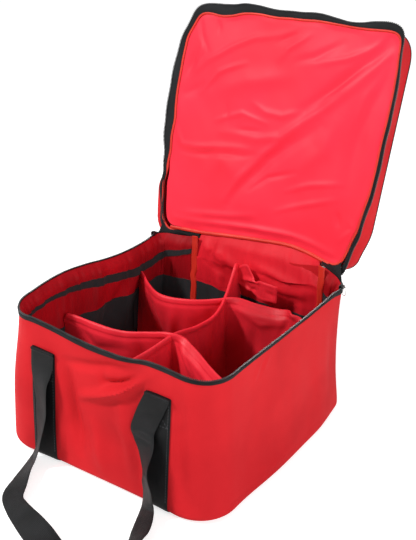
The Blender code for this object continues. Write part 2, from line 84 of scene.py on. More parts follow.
def unit(lines):
    # Each row of numbers scaled to length 1.
    return lines / np.linalg.norm(lines, axis=-1, keepdims=True)


def smoothThrough(at, knots, values):
    # A curve through the knots: cubics whose slope at each knot is the table's gradient.
    knots = np.asarray(knots, float)
    values = np.asarray(values, float)
    slopes = np.gradient(values, knots, axis=0)
    at = np.clip(at, knots[0], knots[-1])
    cell = np.clip(np.searchsorted(knots, at, side="right") - 1, 0, len(knots) - 2)
    span = knots[cell + 1] - knots[cell]
    t = (at - knots[cell]) / span
    if values.ndim > 1:
        span, t = span[..., None], t[..., None]
    return ((2 * t ** 3 - 3 * t ** 2 + 1) * values[cell]
            + (t ** 3 - 2 * t ** 2 + t) * span * slopes[cell]
            + (3 * t ** 2 - 2 * t ** 3) * values[cell + 1]
            + (t ** 3 - t ** 2) * span * slopes[cell + 1])


def curveThrough(rows, at):
    # A smooth curve through rows of place and value in mm.
    rows = np.array(rows, float) * mm
    return smoothThrough(at, rows[:, 0], rows[:, 1])


def foldLines(u, v, lines):
    # Soft folds along broken lines given in mm: height * exp(-(distance / width)^2), fading out
    # at both ends. A ridge has a positive height, a valley a negative one.
    u, v = u * 1000, v * 1000
    total = np.zeros(np.broadcast(u, v).shape)
    for width, height, *points in lines:
        points = np.array(points, float)
        lengths = np.hypot(*np.diff(points, axis=0).T)
        starts = np.concatenate([[0.0], np.cumsum(lengths)])
        near, at = np.full(total.shape, np.inf), np.zeros(total.shape)
        for (u0, v0), (u1, v1), length, start in zip(points, points[1:], lengths, starts):
            share = np.clip(((u - u0) * (u1 - u0) + (v - v0) * (v1 - v0)) / length ** 2, 0, 1)
            away = np.hypot(u - u0 - share * (u1 - u0), v - v0 - share * (v1 - v0))
            at = np.where(away < near, start + share * length, at)
            near = np.minimum(near, away)
        fade = np.sin(math.pi * (0.08 + 0.84 * at / starts[-1]))
        total += height * fade * np.exp(-(near / width) ** 2)
    return total


def waves(u, v, rows):
    # Sum of height * sin(2 pi (u / long + v / high) + phase), with rows in mm.
    u, v = u * 1000, v * 1000
    total = np.zeros(np.broadcast(u, v).shape)
    for long, high, height, phase in rows:
        total += height * np.sin(2 * math.pi * (u / long + v / high) + phase)
    return total


# Plan outline: from the left seam round the front to the right seam, then along the back

arcPoints = 25


def planOutline():
    # Straight runs joined by round corners, as rows of x, y, outward angle, over length.
    rear, front = bag["rearRadius"], bag["frontRadius"]
    rows = [(bag["leftSeam"], backY, 90.0)]
    for centreX, centreY, radius, start in (
            (-halfWidth + rear, backY - rear, rear, 90),
            (-halfWidth + front, -backY + front, front, 180),
            (halfWidth - front, -backY + front, front, 270),
            (halfWidth - rear, backY - rear, rear, 360)):
        degrees = np.linspace(start, start + 90, arcPoints)
        turn = np.radians(degrees)
        rows += zip(centreX + radius * np.cos(turn), centreY + radius * np.sin(turn), degrees)
    rows += [(bag["rightSeam"], backY, 450.0), (bag["leftSeam"], backY, 450.0)]
    table = np.array(rows)
    steps = np.hypot(np.diff(table[:, 0]), np.diff(table[:, 1]))
    return np.concatenate([[0.0], np.cumsum(steps)]), table


outlineLength, outlineTable = planOutline()
seamEnd, loopEnd = outlineLength[-2:]
wallSpan = bag["seamGap"], seamEnd - bag["seamGap"]
backSpan = seamEnd + bag["seamGap"], loopEnd - bag["seamGap"]


def along(side, place):
    # Length along the outline of a place: y on a side, x on front or back, share in a corner.
    if side == "left":
        return outlineLength[arcPoints] + (backY - bag["rearRadius"] - place)
    if side == "front":
        return outlineLength[2 * arcPoints] + (place + halfWidth - bag["frontRadius"])
    if side == "right":
        return outlineLength[3 * arcPoints] + (place + backY - bag["frontRadius"])
    if side == "back":
        if place > bag["rightSeam"]:
            return outlineLength[4 * arcPoints] + (halfWidth - bag["rearRadius"] - place)
        if place < bag["leftSeam"]:
            return bag["leftSeam"] - place
        return seamEnd + (bag["rightSeam"] - place)
    first = 1 + arcPoints * ("leftRear", "leftFront", "rightFront", "rightRear").index(side)
    start, end = outlineLength[first], outlineLength[first + arcPoints - 1]
    return start + place * (end - start)


def outlineAt(s):
    angle = np.radians(np.interp(s, outlineLength, outlineTable[:, 2]))
    place = np.stack([np.interp(s, outlineLength, outlineTable[:, 0]),
                      np.interp(s, outlineLength, outlineTable[:, 1]), np.zeros(np.shape(s))], -1)
    return place, np.stack([np.cos(angle), np.sin(angle), np.zeros(np.shape(s))], -1)


def overOutline(sides):
    # Places on each side with numbers in mm, as a smooth curve over length along the outline.
    table = np.array(sorted((along(side, place), *numbers) for side, *rows in sides
                            for place, *numbers in rows))
    return lambda s: smoothThrough(s, table[:, 0], table[:, 1:] * mm)


# How the walls have settled, in mm: the rim's shift in x, y and z, and two bulges outwards
walls = {
    "rimShift": [
        ("back", (-0.1091, 0, 0, 4), (-0.15, 6, 0, -3)), ("leftRear", (0.5, 11, -4, -5)),
        ("left", (0.184, 9, 0, -6), (0.165, 10, 0, -8), (0.1, 8, 0, -10), (0.05, 4, 0, -7),
         (0.0, 0, 0, 0), (-0.05, -4, 0, 4), (-0.1, -4, 0, 4), (-0.14, 0, 0, 3)),
        ("leftFront", (0.5, 4, 3, 2)),
        ("front", (-0.13, 0, 0, 8), (-0.1, 0, 0, 6), (-0.05, 0, 0, 1), (0.0, 0, 0, -2),
         (0.05, 0, 0, -1), (0.09, 0, 0, 7), (0.14, 0, 0, 6)), ("rightFront", (0.5, 0, 0, 0)),
        ("right", (-0.12, 0, 0, 0), (0.05, 0, 0, 0), (0.12, 0, 0, 2), (0.155, 0, 0, 3),
         (0.18, -1, 0, 0)), ("rightRear", (0.35, -3, -8, 4), (0.9, -3, -13, 14)),
        ("back", (0.1581, 0, -14, 24), (0.1, 0, -8, 14), (0.0, 0, -3, 6), (-0.1089, 0, 0, 4))],
    "footBulge": [
        ("back", (-0.1091, 0)), ("leftRear", (0.5, 2)), ("left", (0.1, 5), (-0.12, 7)),
        ("leftFront", (0.5, 11)), ("front", (-0.11, 5), (-0.04, 5), (0.05, 5), (0.12, 7)),
        ("rightFront", (0.5, 14)),
        ("right", (-0.12, 14), (-0.04, 18), (0.06, 17), (0.12, 15), (0.17, 8)),
        ("rightRear", (0.5, 3)), ("back", (0.14, 0), (-0.1089, 0))],
    "bellyBulge": [
        ("back", (-0.1091, 0)), ("leftRear", (0.5, 0)), ("left", (0.05, 3), (-0.1, 3)),
        ("leftFront", (0.5, 5)), ("front", (-0.08, 2), (0.0, 3), (0.08, 2)),
        ("rightFront", (0.5, 2)), ("right", (-0.08, 2), (0.05, 3), (0.15, 0)),
        ("rightRear", (0.5, -7)), ("back", (0.14, 0), (0.03, 3), (-0.1089, 0))],
    "ripples": [(173, 610, 0.5, 0.4), (97, -340, 0.25, 1.9), (260, 150, 0.45, 2.2),
                (31, 260, 0.10, 0.7)],
    "pitch": 0.0042, "rows": 60, "foldHeight": 4.2, "rimEdge": 0.0085,
    # heights that the rim's shift starts at and eases over, and that the two bulges end at
    "rimFrom": 0.085, "rimOver": 0.150, "footTop": 0.19, "bellyTop": 0.235,
}
rimShift = overOutline(walls["rimShift"])
footBulge = overOutline(walls["footBulge"])
bellyBulge = overOutline(walls["bellyBulge"])


def wallLines(side, rows):
    # Folds given by place on a side and height in mm, as folds over outline length.
    return [(width, height, *[(along(side, place * mm) * 1000, z) for place, z in points])
            for width, height, *points in rows]


wallFolds = (
    wallLines("front", [
        (8, 3.4, (-34, 148), (10, 169), (57, 196), (94, 224), (108, 238)),
        (6, -2.4, (5, 203), (10, 187), (39, 196), (66, 209), (90, 223)),
        (8, -1.5, (-68, 194), (-18, 206), (20, 218), (67, 225)),
        (10, -2.8, (-68, 187), (-60, 147), (-52, 95), (-39, 44)),
        (13, 1.8, (42, 176), (49, 117), (64, 50)), (9, 1.5, (-80, 111), (-81, 35)),
        (14, 2.0, (-20, 120), (-6, 80), (6, 30)), (13, -2.0, (144, 206), (149, 86), (159, 36)),
        (32, -1.5, (-70, 92), (0, 84), (70, 88))])
    + wallLines("right", [
        (6, 0.35, (-74, 227), (-92, 201)), (6, 0.35, (-51, 230), (-72, 205)),
        (6, -0.35, (-63, 229), (-83, 200)), (22, 0.4, (-60, 150), (40, 110)),
        (18, -0.35, (60, 190), (95, 60)), (14, -0.5, (150, 200), (160, 60)),
        (9, 0.5, (-100, 60), (-60, 26), (0, 22))])
    + wallLines("left", [(16, -1.8, (120, 200), (60, 60)), (16, -1.8, (20, 210), (-20, 70)),
                         (14, -1.6, (-70, 190), (-110, 60)), (12, 1.2, (80, 180), (20, 90))])
    + wallLines("back", [(16, -1.6, (-60, 200), (0, 50)), (18, -1.6, (80, 210), (40, 60)),
                         (12, -1.3, (130, 190), (110, 40)), (12, 1.2, (-20, 160), (60, 120))]))


def strapCalm(s):
    # The sewn straps hold the front and back cloth flat: 1 away from them, 0.25 beneath them.
    under = np.zeros(np.shape(s))
    for side, x in (("front", -strapX), ("front", strapX), ("back", -strapX), ("back", strapX)):
        under = np.maximum(under, np.exp(-((s - along(side, x) % loopEnd) / 0.031) ** 6))
    return 1 - 0.75 * under


def wallShift(s, z):
    # Rim shift eased in over the upper half, foot bulge over the lower, belly between.
    outward = outlineAt(s)[1]
    rimShare = ease((z - walls["rimFrom"]) / walls["rimOver"])[..., None]
    footShare = (np.clip(1 - z / walls["footTop"], 0, 1) ** 1.4)[..., None]
    bellyShare = np.sin(math.pi * np.clip(z / walls["bellyTop"], 0, 1))[..., None] ** 1.2
    return (rimShift(s) * rimShare + outward * footBulge(s) * footShare
            + outward * bellyBulge(s) * bellyShare)


def wallPlace(s, depth, z):
    # A point of the settled wall: outline place, less depth along the outward direction,
    # plus the shift, the ripples and the creases, which fade out at the foot and rim.
    s, depth, z = np.broadcast_arrays(s, depth, z)
    place, outward = outlineAt(s)
    bend = waves(s, z, walls["ripples"]) + walls["foldHeight"] * foldLines(s, z, wallFolds)
    fade = ease(z / 0.03) * (0.35 + 0.65 * ease((0.246 - z) / 0.03))
    bend = bend * mm * strapCalm(s) * fade
    up = np.zeros(place.shape)
    up[..., 2] = z
    return place + up + outward * (bend - depth)[..., None] + wallShift(s, z)


# The lid, drawn shut over its hinge line and then swung open

lid = {
    # how far the lining's edge lies outside the plan, mm, by y on the sides and x on top
    "left": [
        (-205, 0), (-182, 2), (-156, 12), (-133, 14), (-110, 15), (-88, 15), (-44, 14), (-22, 12),
        (0, 9), (40, 9), (62, 6), (85, 5), (106, 2), (129, 2), (151, -2), (172, -5), (205, -14)],
    "right": [
        (-205, -4), (-168, -1), (-150, 1), (-130, 2), (-110, 3), (-70, 3), (-35, 2), (0, 2),
        (30, 2), (70, 0), (90, -3), (110, -5), (133, -7), (155, -13), (177, -17), (205, -25)],
    "top": [
        (-190, -19), (-170, -23), (-153, -25), (-128, -22), (-104, -15), (-80, -12), (-32, -12),
        (-8, -10), (15, -9), (37, -7), (80, -7), (127, -7), (148, -6), (190, -2)],
    # how far the lining's lower edge stands off the hinge line
    "hinge": [
        (-190, 3), (-174, 4), (-116, 8), (-44, 17), (17, 24), (96, 30), (136, 26), (167, 20),
        (195, 16)],
    # the tape's visible width outside the lining
    "tape": [
        ("back", (-0.1091, 5)), ("leftRear", (0.5, 5)),
        ("left", (0.174, 4), (0.13, 6), (0.087, 9), (0.044, 14), (0.0, 19), (-0.022, 17),
         (-0.05, 15.5), (-0.09, 14.5), (-0.133, 12)),
        ("leftFront", (0.15, 10), (0.5, 14), (0.9, 19)),
        ("front", (-0.107, 16), (-0.06, 12), (0.0, 11), (0.05, 11), (0.081, 8), (0.104, 6),
         (0.125, 8)), ("rightFront", (0.05, 12), (0.35, 14), (0.6, 5)),
        ("right", (-0.16, 4), (-0.13, 5), (-0.06, 6), (-0.02, 6.5), (0.047, 6.5), (0.09, 6),
         (0.13, 6), (0.175, 7)), ("rightRear", (0.5, 9)), ("back", (0.1579, 7))],
    # how square the lining's two far corners are: 2 is the round plan, larger is squarer
    "leftSquare": 4.0, "rightSquare": 6.0, "panelSquare": 2.7,
    "skirtBulge": 25, "panelCorner": 15, "skirtTop": 0.0474, "bellyHeight": 0.048,
    "panelOuter": 0.0490, "panelInner": 0.0478,
    "ripples": [(140, 300, 0.7, 0.0), (83, 500, 0.5, 1.3)],
}
tapeWidth = overOutline(lid["tape"])


def openLid(points):
    # Turns shut-lid points about the hinge line, the top of the back wall.
    turn = math.radians(bag["lidOpen"])
    y, z = points[..., 1] - backY, points[..., 2]
    return np.stack([points[..., 0], backY + y * math.cos(turn) + z * math.sin(turn),
                     bag["rim"] - y * math.sin(turn) + z * math.cos(turn)], -1)


def lidShift(x, y, height, hingeShare):
    # Edge shifts mixed across the lid: left and right by x, top and hinge by y. The outer
    # panel moves only at the corner beside the right seam, where the real one is rounder.
    a = np.clip((x + halfWidth) / bag["width"], 0, 1)
    b = np.clip((y + backY) / bag["depth"], 0, 1)
    level = 1 - ease(height / 0.046)
    shift = np.zeros((*np.shape(x), 3))
    shift[..., 0] = (-curveThrough(lid["left"], y) * (1 - a)
                     + curveThrough(lid["right"], y) * a) * level
    shift[..., 1] = (-curveThrough(lid["top"], x) * (1 - b) * level
                     - curveThrough(lid["hinge"], x) * hingeShare * b ** 3 * level)
    radius = bag["frontRadius"]
    for side, power, share in ((-1, lid["leftSquare"], level), (1, lid["rightSquare"], level),
                               (1, lid["panelSquare"], 1 - level)):
        over = np.clip((side * x - halfWidth + radius) / radius, 0, 1)
        down = np.clip((-y - backY + radius) / radius, 0, 1)
        square = np.maximum((over ** power + down ** power) ** (1 / power), 1e-9)
        grow = np.where(over * down > 0, np.hypot(over, down) / square - 1, 0) * radius * share
        shift[..., 0] += side * over * grow
        shift[..., 1] -= down * grow
    corner = ease((x - 0.12) / 0.08) * ease((y - 0.12) / 0.09) * lid["panelCorner"] * mm
    shift[..., 0] -= corner * (1 - level)
    shift[..., 1] -= corner * (1 - level) * 0.8
    return shift


def lidPlace(s, depth, height, hingeShare=0.0):
    # A point of the open lid, by outline length, depth inwards and height from the zip.
    s, depth, height = np.broadcast_arrays(s, depth, height)
    place, outward = outlineAt(s)
    up = np.clip(height / lid["bellyHeight"], 0, 1)
    bend = waves(s, height, lid["ripples"]) * mm * np.sin(math.pi * up)
    low = ease((place[..., 1] - 0.06) / 0.09) * ease((-place[..., 0] - 0.15) / 0.04)
    bend = bend + low * lid["skirtBulge"] * mm * np.sin(math.pi * up ** 0.75)
    shift = lidShift(place[..., 0], place[..., 1], height, hingeShare)
    points = place + outward * (bend - depth)[..., None] + shift
    points[..., 2] += height
    return openLid(points)


# Meshes

def addObject(name, data):
    thing = bpy.data.objects.new(name, data)
    bpy.context.scene.collection.objects.link(thing)
    return thing


def finishMesh(name, mesh, finish, body, standsFor, slot, sharp=50):
    # Faces turned outwards and smooth but for sharp edges; the piece rides on its body.
    work = bmesh.new()
    work.from_mesh(mesh)
    bmesh.ops.recalc_face_normals(work, faces=work.faces)
    work.to_mesh(mesh)
    work.free()
    mesh.shade_smooth()
    mesh.set_sharp_from_angle(angle=math.radians(sharp))
    mesh.materials.append(finishes[finish])
    piece = addObject(name, mesh)
    if body:
        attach(piece, body)
    if standsFor:
        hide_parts(*standsFor)
    return piece


def makeMesh(name, points, faces, spots, *rest):
    # The spots are each face corner's place in metres, for the weave; the rest finishes it.
    mesh = bpy.data.meshes.new(name)
    mesh.from_pydata(points.tolist(), [], faces)
    weave = mesh.uv_layers.new(name="weave")
    weave.uv.foreach_set("vector", np.ascontiguousarray(spots, np.float32).ravel())
    return finishMesh(name, mesh, *rest)


def makeSkin(name, rings, places, finish, body, standsFor, slot, closed=False):
    # Rings of points become one closed skin. Faces run along and round; open ends are closed
    # by quads that pair each ring point with its opposite one.
    count, size = rings.shape[:2]
    column = np.arange(count if closed else count - 1)
    following = (column + 1) % count
    corner = np.arange(size)
    after = (corner + 1) % size
    faces = np.stack([column[:, None] * size + corner, column[:, None] * size + after,
                      following[:, None] * size + after, following[:, None] * size + corner], -1)
    spots = np.stack([places[column][:, corner], places[column][:, after],
                      places[column + 1][:, after], places[column + 1][:, corner]], 2)
    faces, spots = faces.reshape(-1, 4), spots.reshape(-1, 4, 2)
    if not closed:
        low = np.arange(size // 2 - 1)
        ends = np.stack([low, low + 1, size - 2 - low, size - 1 - low], -1)
        faces = np.concatenate([faces, ends[:, ::-1], ends + (count - 1) * size])
        spots = np.concatenate([spots, places[0][ends[:, ::-1]], places[-1][ends]])
    return makeMesh(name, rings.reshape(-1, 3), faces.tolist(), spots, finish, body, standsFor,
                    slot)


def makeSheet(name, grids, places, finish, body, standsFor, slot):
    # A thin sheet: each ring runs across the first grid and back across the second.
    front, back = grids
    places = np.stack(np.broadcast_arrays(*places), -1)
    piece = makeSkin(name, np.concatenate([front, back[:, ::-1]], 1),
                     np.concatenate([places, places[:, ::-1]], 1), finish, body, standsFor, slot)
    return piece


def columnSpan(start, stop, pitch):
    return np.linspace(start, stop, max(int(abs(stop - start) / pitch), 2) + 1)


# Finishes

def addNode(tree, kind, settings=None, links=None, **options):
    node = tree.nodes.new("ShaderNode" + kind)
    for name, value in options.items():
        setattr(node, name, value)
    for name, value in (settings or {}).items():
        node.inputs[name].default_value = value
    for name, source in (links or {}).items():
        tree.links.new(source, node.inputs[name])
    return node


def addNoise(tree, source, scale, detail):
    return addNode(tree, "TexNoise", {"Scale": scale, "Detail": detail}, {"Vector": source})


def mixColours(tree, look, share):
    colours = {6: linearColour(look["colour"]), 7: linearColour(look["shade"])}
    return addNode(tree, "Mix", colours, {0: share}, data_type="RGBA")


def startFinish(name):
    material = bpy.data.materials.new(name)
    material.use_nodes = True
    tree = material.node_tree
    return material, tree, tree.nodes["Principled BSDF"]


def endFinish(tree, shader, look, colour, rough, height, settings):
    bump = addNode(tree, "Bump", {"Strength": look["bump"], "Distance": look["relief"] * mm},
                   {"Height": height.outputs[0]})
    for name, source in (("Base Color", colour.outputs[2]), ("Roughness", rough.outputs[0]),
                         ("Normal", bump.outputs["Normal"])):
        tree.links.new(source, shader.inputs[name])
    for name, value in settings.items():
        shader.inputs[name].default_value = value


def waveScale(millimetres):
    # Blender's bands repeat every pi / (10 * scale), here with coordinates in metres.
    return math.pi / (10 * millimetres * mm)


def clothFinish(name, look):
    # Colour = base mixed towards shade by broad noise, then dimmed between the threads as painted
    #     # shade; height = the larger of the warp and weft bands plus fine noise; roughness wanders
    #     # with the same broad noise.
    material, tree, shader = startFinish(name)
    weave = addNode(tree, "UVMap", uv_map="weave").outputs["UV"]
    solid = addNode(tree, "TexCoord").outputs["Object"]
    broad = addNoise(tree, solid, look["broadScale"], 4.0).outputs["Fac"]
    tone = addNode(tree, "MapRange", {"From Min": 0.35, "From Max": 0.65}, {"Value": broad})
    warp, weft = (addNode(tree, "TexWave", {"Scale": waveScale(look["thread"] * share),
                                            "Distortion": 0.6},
                          {"Vector": weave}, bands_direction=axis).outputs["Fac"]
                  for axis, share in (("X", 1.0), ("Y", look["weftShare"])))
    grid = addNode(tree, "Math", {}, {0: warp, 1: weft}, operation="MAXIMUM").outputs[0]
    nap = addNoise(tree, solid, look["napScale"], 3.0).outputs["Fac"]
    height = addNode(tree, "Math", {1: look["nap"]}, {0: nap, 2: grid}, operation="MULTIPLY_ADD")
    # painted shade: the colour is dimmed where the bands are low, in the hollows between threads
    thread = addNode(tree, "MapRange", {"To Min": look["gapShade"], "To Max": 1.0}, {"Value": grid})
    colour = mixColours(tree, look, tone.outputs[0])
    shadedWeave = addNode(tree, "Mix", {0: 1.0}, {6: colour.outputs[2], 7: thread.outputs[0]},
                   data_type="RGBA", blend_type="MULTIPLY")
    rough = addNode(tree, "MapRange", {"From Min": 0.3, "From Max": 0.7,
                                       "To Min": look["roughness"] - 0.06,
                                       "To Max": look["roughness"] + 0.08}, {"Value": broad})
    endFinish(tree, shader, look, shadedWeave, rough, height, {
        "IOR": 1.5, "Specular IOR Level": look["specular"], "Sheen Weight": look["sheen"],
        "Sheen Roughness": 0.45, "Sheen Tint": linearColour(look["sheenTint"])})
    return material


def plainFinish(name, look):
    # Colour = base mixed towards shade by noise; height = noise of the real grain.
    material, tree, shader = startFinish(name)
    solid = addNode(tree, "TexCoord").outputs["Object"]
    broad = addNoise(tree, solid, look["broadScale"], 5.0).outputs["Fac"]
    grain = addNode(tree, look["grain"], {"Scale": look["grainScale"]}, {"Vector": solid})
    rough = addNode(tree, "MapRange", {"To Min": look["roughness"] - 0.08,
                                       "To Max": look["roughness"] + 0.08}, {"Value": broad})
    endFinish(tree, shader, look, mixColours(tree, look, broad), rough, grain,
              {"Metallic": look["metallic"]})
    return material


# The cloths' threads are drawn 1 to 1.4 mm apart, because finer ones do not show. The first
# dictionary holds what every cloth has unless its own says otherwise.
# Each look gives the colour kept in the painted shade between its threads as a share of full.
nylon = {"broadScale": 7.0, "thread": 1.0, "weftShare": 1.0, "napScale": 1100.0, "nap": 0.4,
         "bump": 0.22, "relief": 0.10, "gapShade": 0.95, "roughness": 0.50, "specular": 0.10,
         "sheen": 0.0, "sheenTint": "#ff9a9a"}
clothLooks = {
    # coated polyester plain weave: matt red with a faint plastic gleam on its creases
    "outerPolyester": {"colour": "#dc252c", "shade": "#c81f26", "broadScale": 6.0, "thread": 1.3,
                       "napScale": 900.0, "nap": 0.5, "bump": 0.35, "relief": 0.18, "gapShade": 0.90,
                       "roughness": 0.66, "sheenTint": "#ff8a80"},
    # calendered nylon lining of the walls and floor: smoother, with a soft shine. Its deeper red
    #     # is painted shade for the inside of the bag, darker than the same lining on the back wall
    "wallNylonPaintedShade": {"colour": "#b0121d", "shade": "#820b13", "roughness": 0.52},
    # the same lining on the back wall and up over the hinge, in its colour without the painted
    #     # shade that darkens the walls' copy
    "hingeNylon": {"colour": "#e02331", "shade": "#c81a27"},
    # satin-finished nylon of the lid: pinkish sheen on the crest of each fold
    "lidSatin": {"colour": "#f92d44", "shade": "#ef283c", "broadScale": 5.0, "bump": 0.20,
                 "relief": 0.09, "gapShade": 0.96, "specular": 0.19, "sheen": 0.03,
                 "sheenTint": "#ffb0b4"},
    # the dividers' cover: the same nylon as the lid, a little rougher from handling
    "dividerNylon": {"colour": "#ee2b3b", "shade": "#c81e2b", "broadScale": 9.0,
                     "roughness": 0.44, "specular": 0.20, "sheen": 0.02, "sheenTint": "#ffb0b0"},
    # woven polypropylene webbing: black, ribbed along its length, slightly greasy shine
    "webbingPolypropylene": {"colour": "#0e0f11", "shade": "#0a0b0c", "broadScale": 20.0,
                             "thread": 2.2, "weftShare": 0.6, "napScale": 1500.0, "nap": 0.5,
                             "bump": 0.7, "relief": 0.35, "gapShade": 0.55, "roughness": 0.55,
                             "specular": 0.17, "sheenTint": "#8a8f96"},
    # knitted polyester zip tape: dull black with fine chevrons
    "zipTapeKnit": {"colour": "#161719", "shade": "#0f1011", "broadScale": 18.0, "thread": 1.4,
                    "weftShare": 0.8, "napScale": 1500.0, "nap": 0.6, "bump": 0.5, "relief": 0.20,
                    "gapShade": 0.7, "roughness": 0.75, "specular": 0.2, "sheen": 0.03,
                    "sheenTint": "#777b80"},
    # ribbed binding tape: orange-red, silky, cross ribs
    "bindingGrosgrain": {"colour": "#dd3324", "shade": "#c8281b", "broadScale": 15.0,
                         "thread": 1.2, "weftShare": 0.9, "napScale": 1300.0, "bump": 0.45,
                         "relief": 0.16, "gapShade": 0.85, "roughness": 0.48, "specular": 0.3,
                         "sheen": 0.08, "sheenTint": "#ffb090"},
    # sewing thread of the straps: bonded polyester, a twisted dark strand with a glint
    "threadBlack": {"colour": "#303236", "shade": "#222427", "broadScale": 60.0, "thread": 0.6,
                    "napScale": 2500.0, "bump": 0.3, "relief": 0.05, "gapShade": 0.8, "specular": 0.5,
                    "sheen": 0.2, "sheenTint": "#a0a4aa"},
}
# The same for surfaces that aren't woven
smooth = {"grain": "TexNoise", "metallic": 0.0}
plainLooks = {
    # brushed nylon loop pile: no gleam at all, fuzzy
    "loopPile": {"colour": "#1c1c1f", "shade": "#101012", "broadScale": 30.0,
                 "grain": "TexVoronoi", "grainScale": 700.0, "bump": 0.9, "relief": 0.5,
                 "roughness": 0.95},
    # moulded nylon monofilament of the coil: smooth, small sharp glints
    "coilNylon": {"colour": "#232427", "shade": "#191a1c", "broadScale": 40.0,
                  "grainScale": 500.0, "bump": 0.1, "relief": 0.05, "roughness": 0.35},
    # closed-cell polyethylene foam: skinned white-grey bubbles about 1.5 mm across
    "cellFoam": {"colour": "#d9dadc", "shade": "#cbccce", "broadScale": 12.0,
                 "grain": "TexVoronoi", "grainScale": 650.0, "bump": 0.5, "relief": 0.3,
                 "roughness": 0.7},
    # needled polyester wadding: off-white and fluffy
    "needledWadding": {"colour": "#eeeeea", "shade": "#dcdcd6", "broadScale": 20.0,
                       "grainScale": 400.0, "bump": 0.9, "relief": 1.0, "roughness": 0.95},
    # pressed fibre stiffener board: pale and flat, flecked
    "pressedBoard": {"colour": "#d8d3c4", "shade": "#c2bba8", "broadScale": 90.0,
                     "grainScale": 900.0, "bump": 0.2, "relief": 0.1, "roughness": 0.8},
    # die-cast zinc slider under black paint, worn a little where it rubs
    "paintedZinc": {"colour": "#242527", "shade": "#3a3b3d", "broadScale": 300.0,
                    "grainScale": 1200.0, "bump": 0.15, "relief": 0.05, "roughness": 0.35,
                    "metallic": 0.7},
    # nickel-plated steel wire of the pulls: pale and bright
    "platedWire": {"colour": "#c9c8c5", "shade": "#b0afab", "broadScale": 300.0,
                   "grainScale": 900.0, "bump": 0.1, "relief": 0.03, "roughness": 0.25,
                   "metallic": 1.0},
}
finishes = {name: clothFinish(name, {**nylon, **look}) for name, look in clothLooks.items()}
finishes.update({name: plainFinish(name, {**smooth, **look}) for name, look in plainLooks.items()})
print("bag scene: finishes made")


# Outer cloth of the walls, with its foot turned under

def clothProfile(depthOut, top, rows):
    # Depth and height up a wall layer: a quarter turn under the foot, then straight up.
    radius = bag["footRadius"] - depthOut
    turn = np.radians(np.linspace(0, 90, 9))
    rise = curveTop + (top - curveTop) * np.arange(1, rows + 1) / rows
    return (np.concatenate([bag["footRadius"] - radius * np.sin(turn), np.full(rows, depthOut)]),
            np.concatenate([curveTop - radius * np.cos(turn), rise]))


def makeWallCloth(name, span, top, standsFor):
    s = columnSpan(*span, walls["pitch"])[:, None]
    grids = []
    for depthOut in (0.0, bag["cloth"]):
        depth, height = clothProfile(depthOut, top, walls["rows"])
        grids.append(wallPlace(s, depth[None, :], height[None, :]))
    up = np.cumsum(np.hypot(np.diff(depth, prepend=depth[0]), np.diff(height, prepend=height[0])))
    makeSheet(name, grids, (s, up[None, :]), "outerPolyester", "bag", standsFor, "outer_cloth")


rimEdge = bag["rim"] - walls["rimEdge"]
makeWallCloth("wall_cloth", wallSpan, rimEdge, ("wall_band",))
makeWallCloth("back_cloth", backSpan, rimEdge + 0.002, ("back_panel",))
print("bag scene: outer walls draped")


# Flat layers of the base: the plan drawn in, as rings that shrink to the middle

def makeBaseLayer(name, depth, bottom, top, finish, standsFor, slot):
    # Two grids, under and over, from the edge to a small middle patch closed by a fan. The
    # edge is pulled towards the middle by the share, and the foot's bulge fades with it.
    s = np.linspace(0, loopEnd, 240, endpoint=False)[:, None]
    share = (np.linspace(1, 0, 25)[:-1] ** 0.9)[:, None]
    place, outward = outlineAt(s)
    flatShift = wallShift(s, np.full(s.shape, 0.004)) * np.array([1, 1, 0])
    under = (place - outward * depth + flatShift) * share
    over = under.copy()
    under[..., 2], over[..., 2] = bottom, top
    grid = np.concatenate([under[:, ::-1], over], 1)
    count, size = grid.shape[:2]
    points = np.concatenate([grid.reshape(-1, 3), [[0, 0, bottom], [0, 0, top]]])
    column = np.arange(count)
    after = (column + 1) % count
    row = np.arange(size - 1)
    faces = np.stack([column[:, None] * size + row, column[:, None] * size + row + 1,
                      after[:, None] * size + row + 1, after[:, None] * size + row], -1)
    low, high = count * size, count * size + 1
    faces = (faces.reshape(-1, 4).tolist()
             + [(a * size, b * size, low) for a, b in zip(column, after)]
             + [(a * size + size - 1, b * size + size - 1, high) for a, b in zip(column, after)])
    spots = points[np.concatenate([np.array(face) for face in faces])][:, :2]
    return makeMesh(name, points, faces, spots, finish, "bag", standsFor, slot)


baseCloth = makeBaseLayer("base_cloth", bag["footRadius"] + bag["gap"], footBottom,
                          footBottom + bag["cloth"], "outerPolyester", ("base_panel",),
                          "outer_cloth")
baseFoam = makeBaseLayer("base_foam_pad", 0.0052, 0.0057, 0.0137, "cellFoam", ("base_foam",),
                         "closed_cell_foam")
# the floor lining takes the darkened copy of the lining's colour: painted shade
floorLining = makeBaseLayer("floor_lining_cloth", 0.0110, 0.0140, 0.0148, "wallNylonPaintedShade",
                            ("floor_lining",), "wall_lining_cloth")
print("bag scene: base laid")


# Foam and lining of the walls

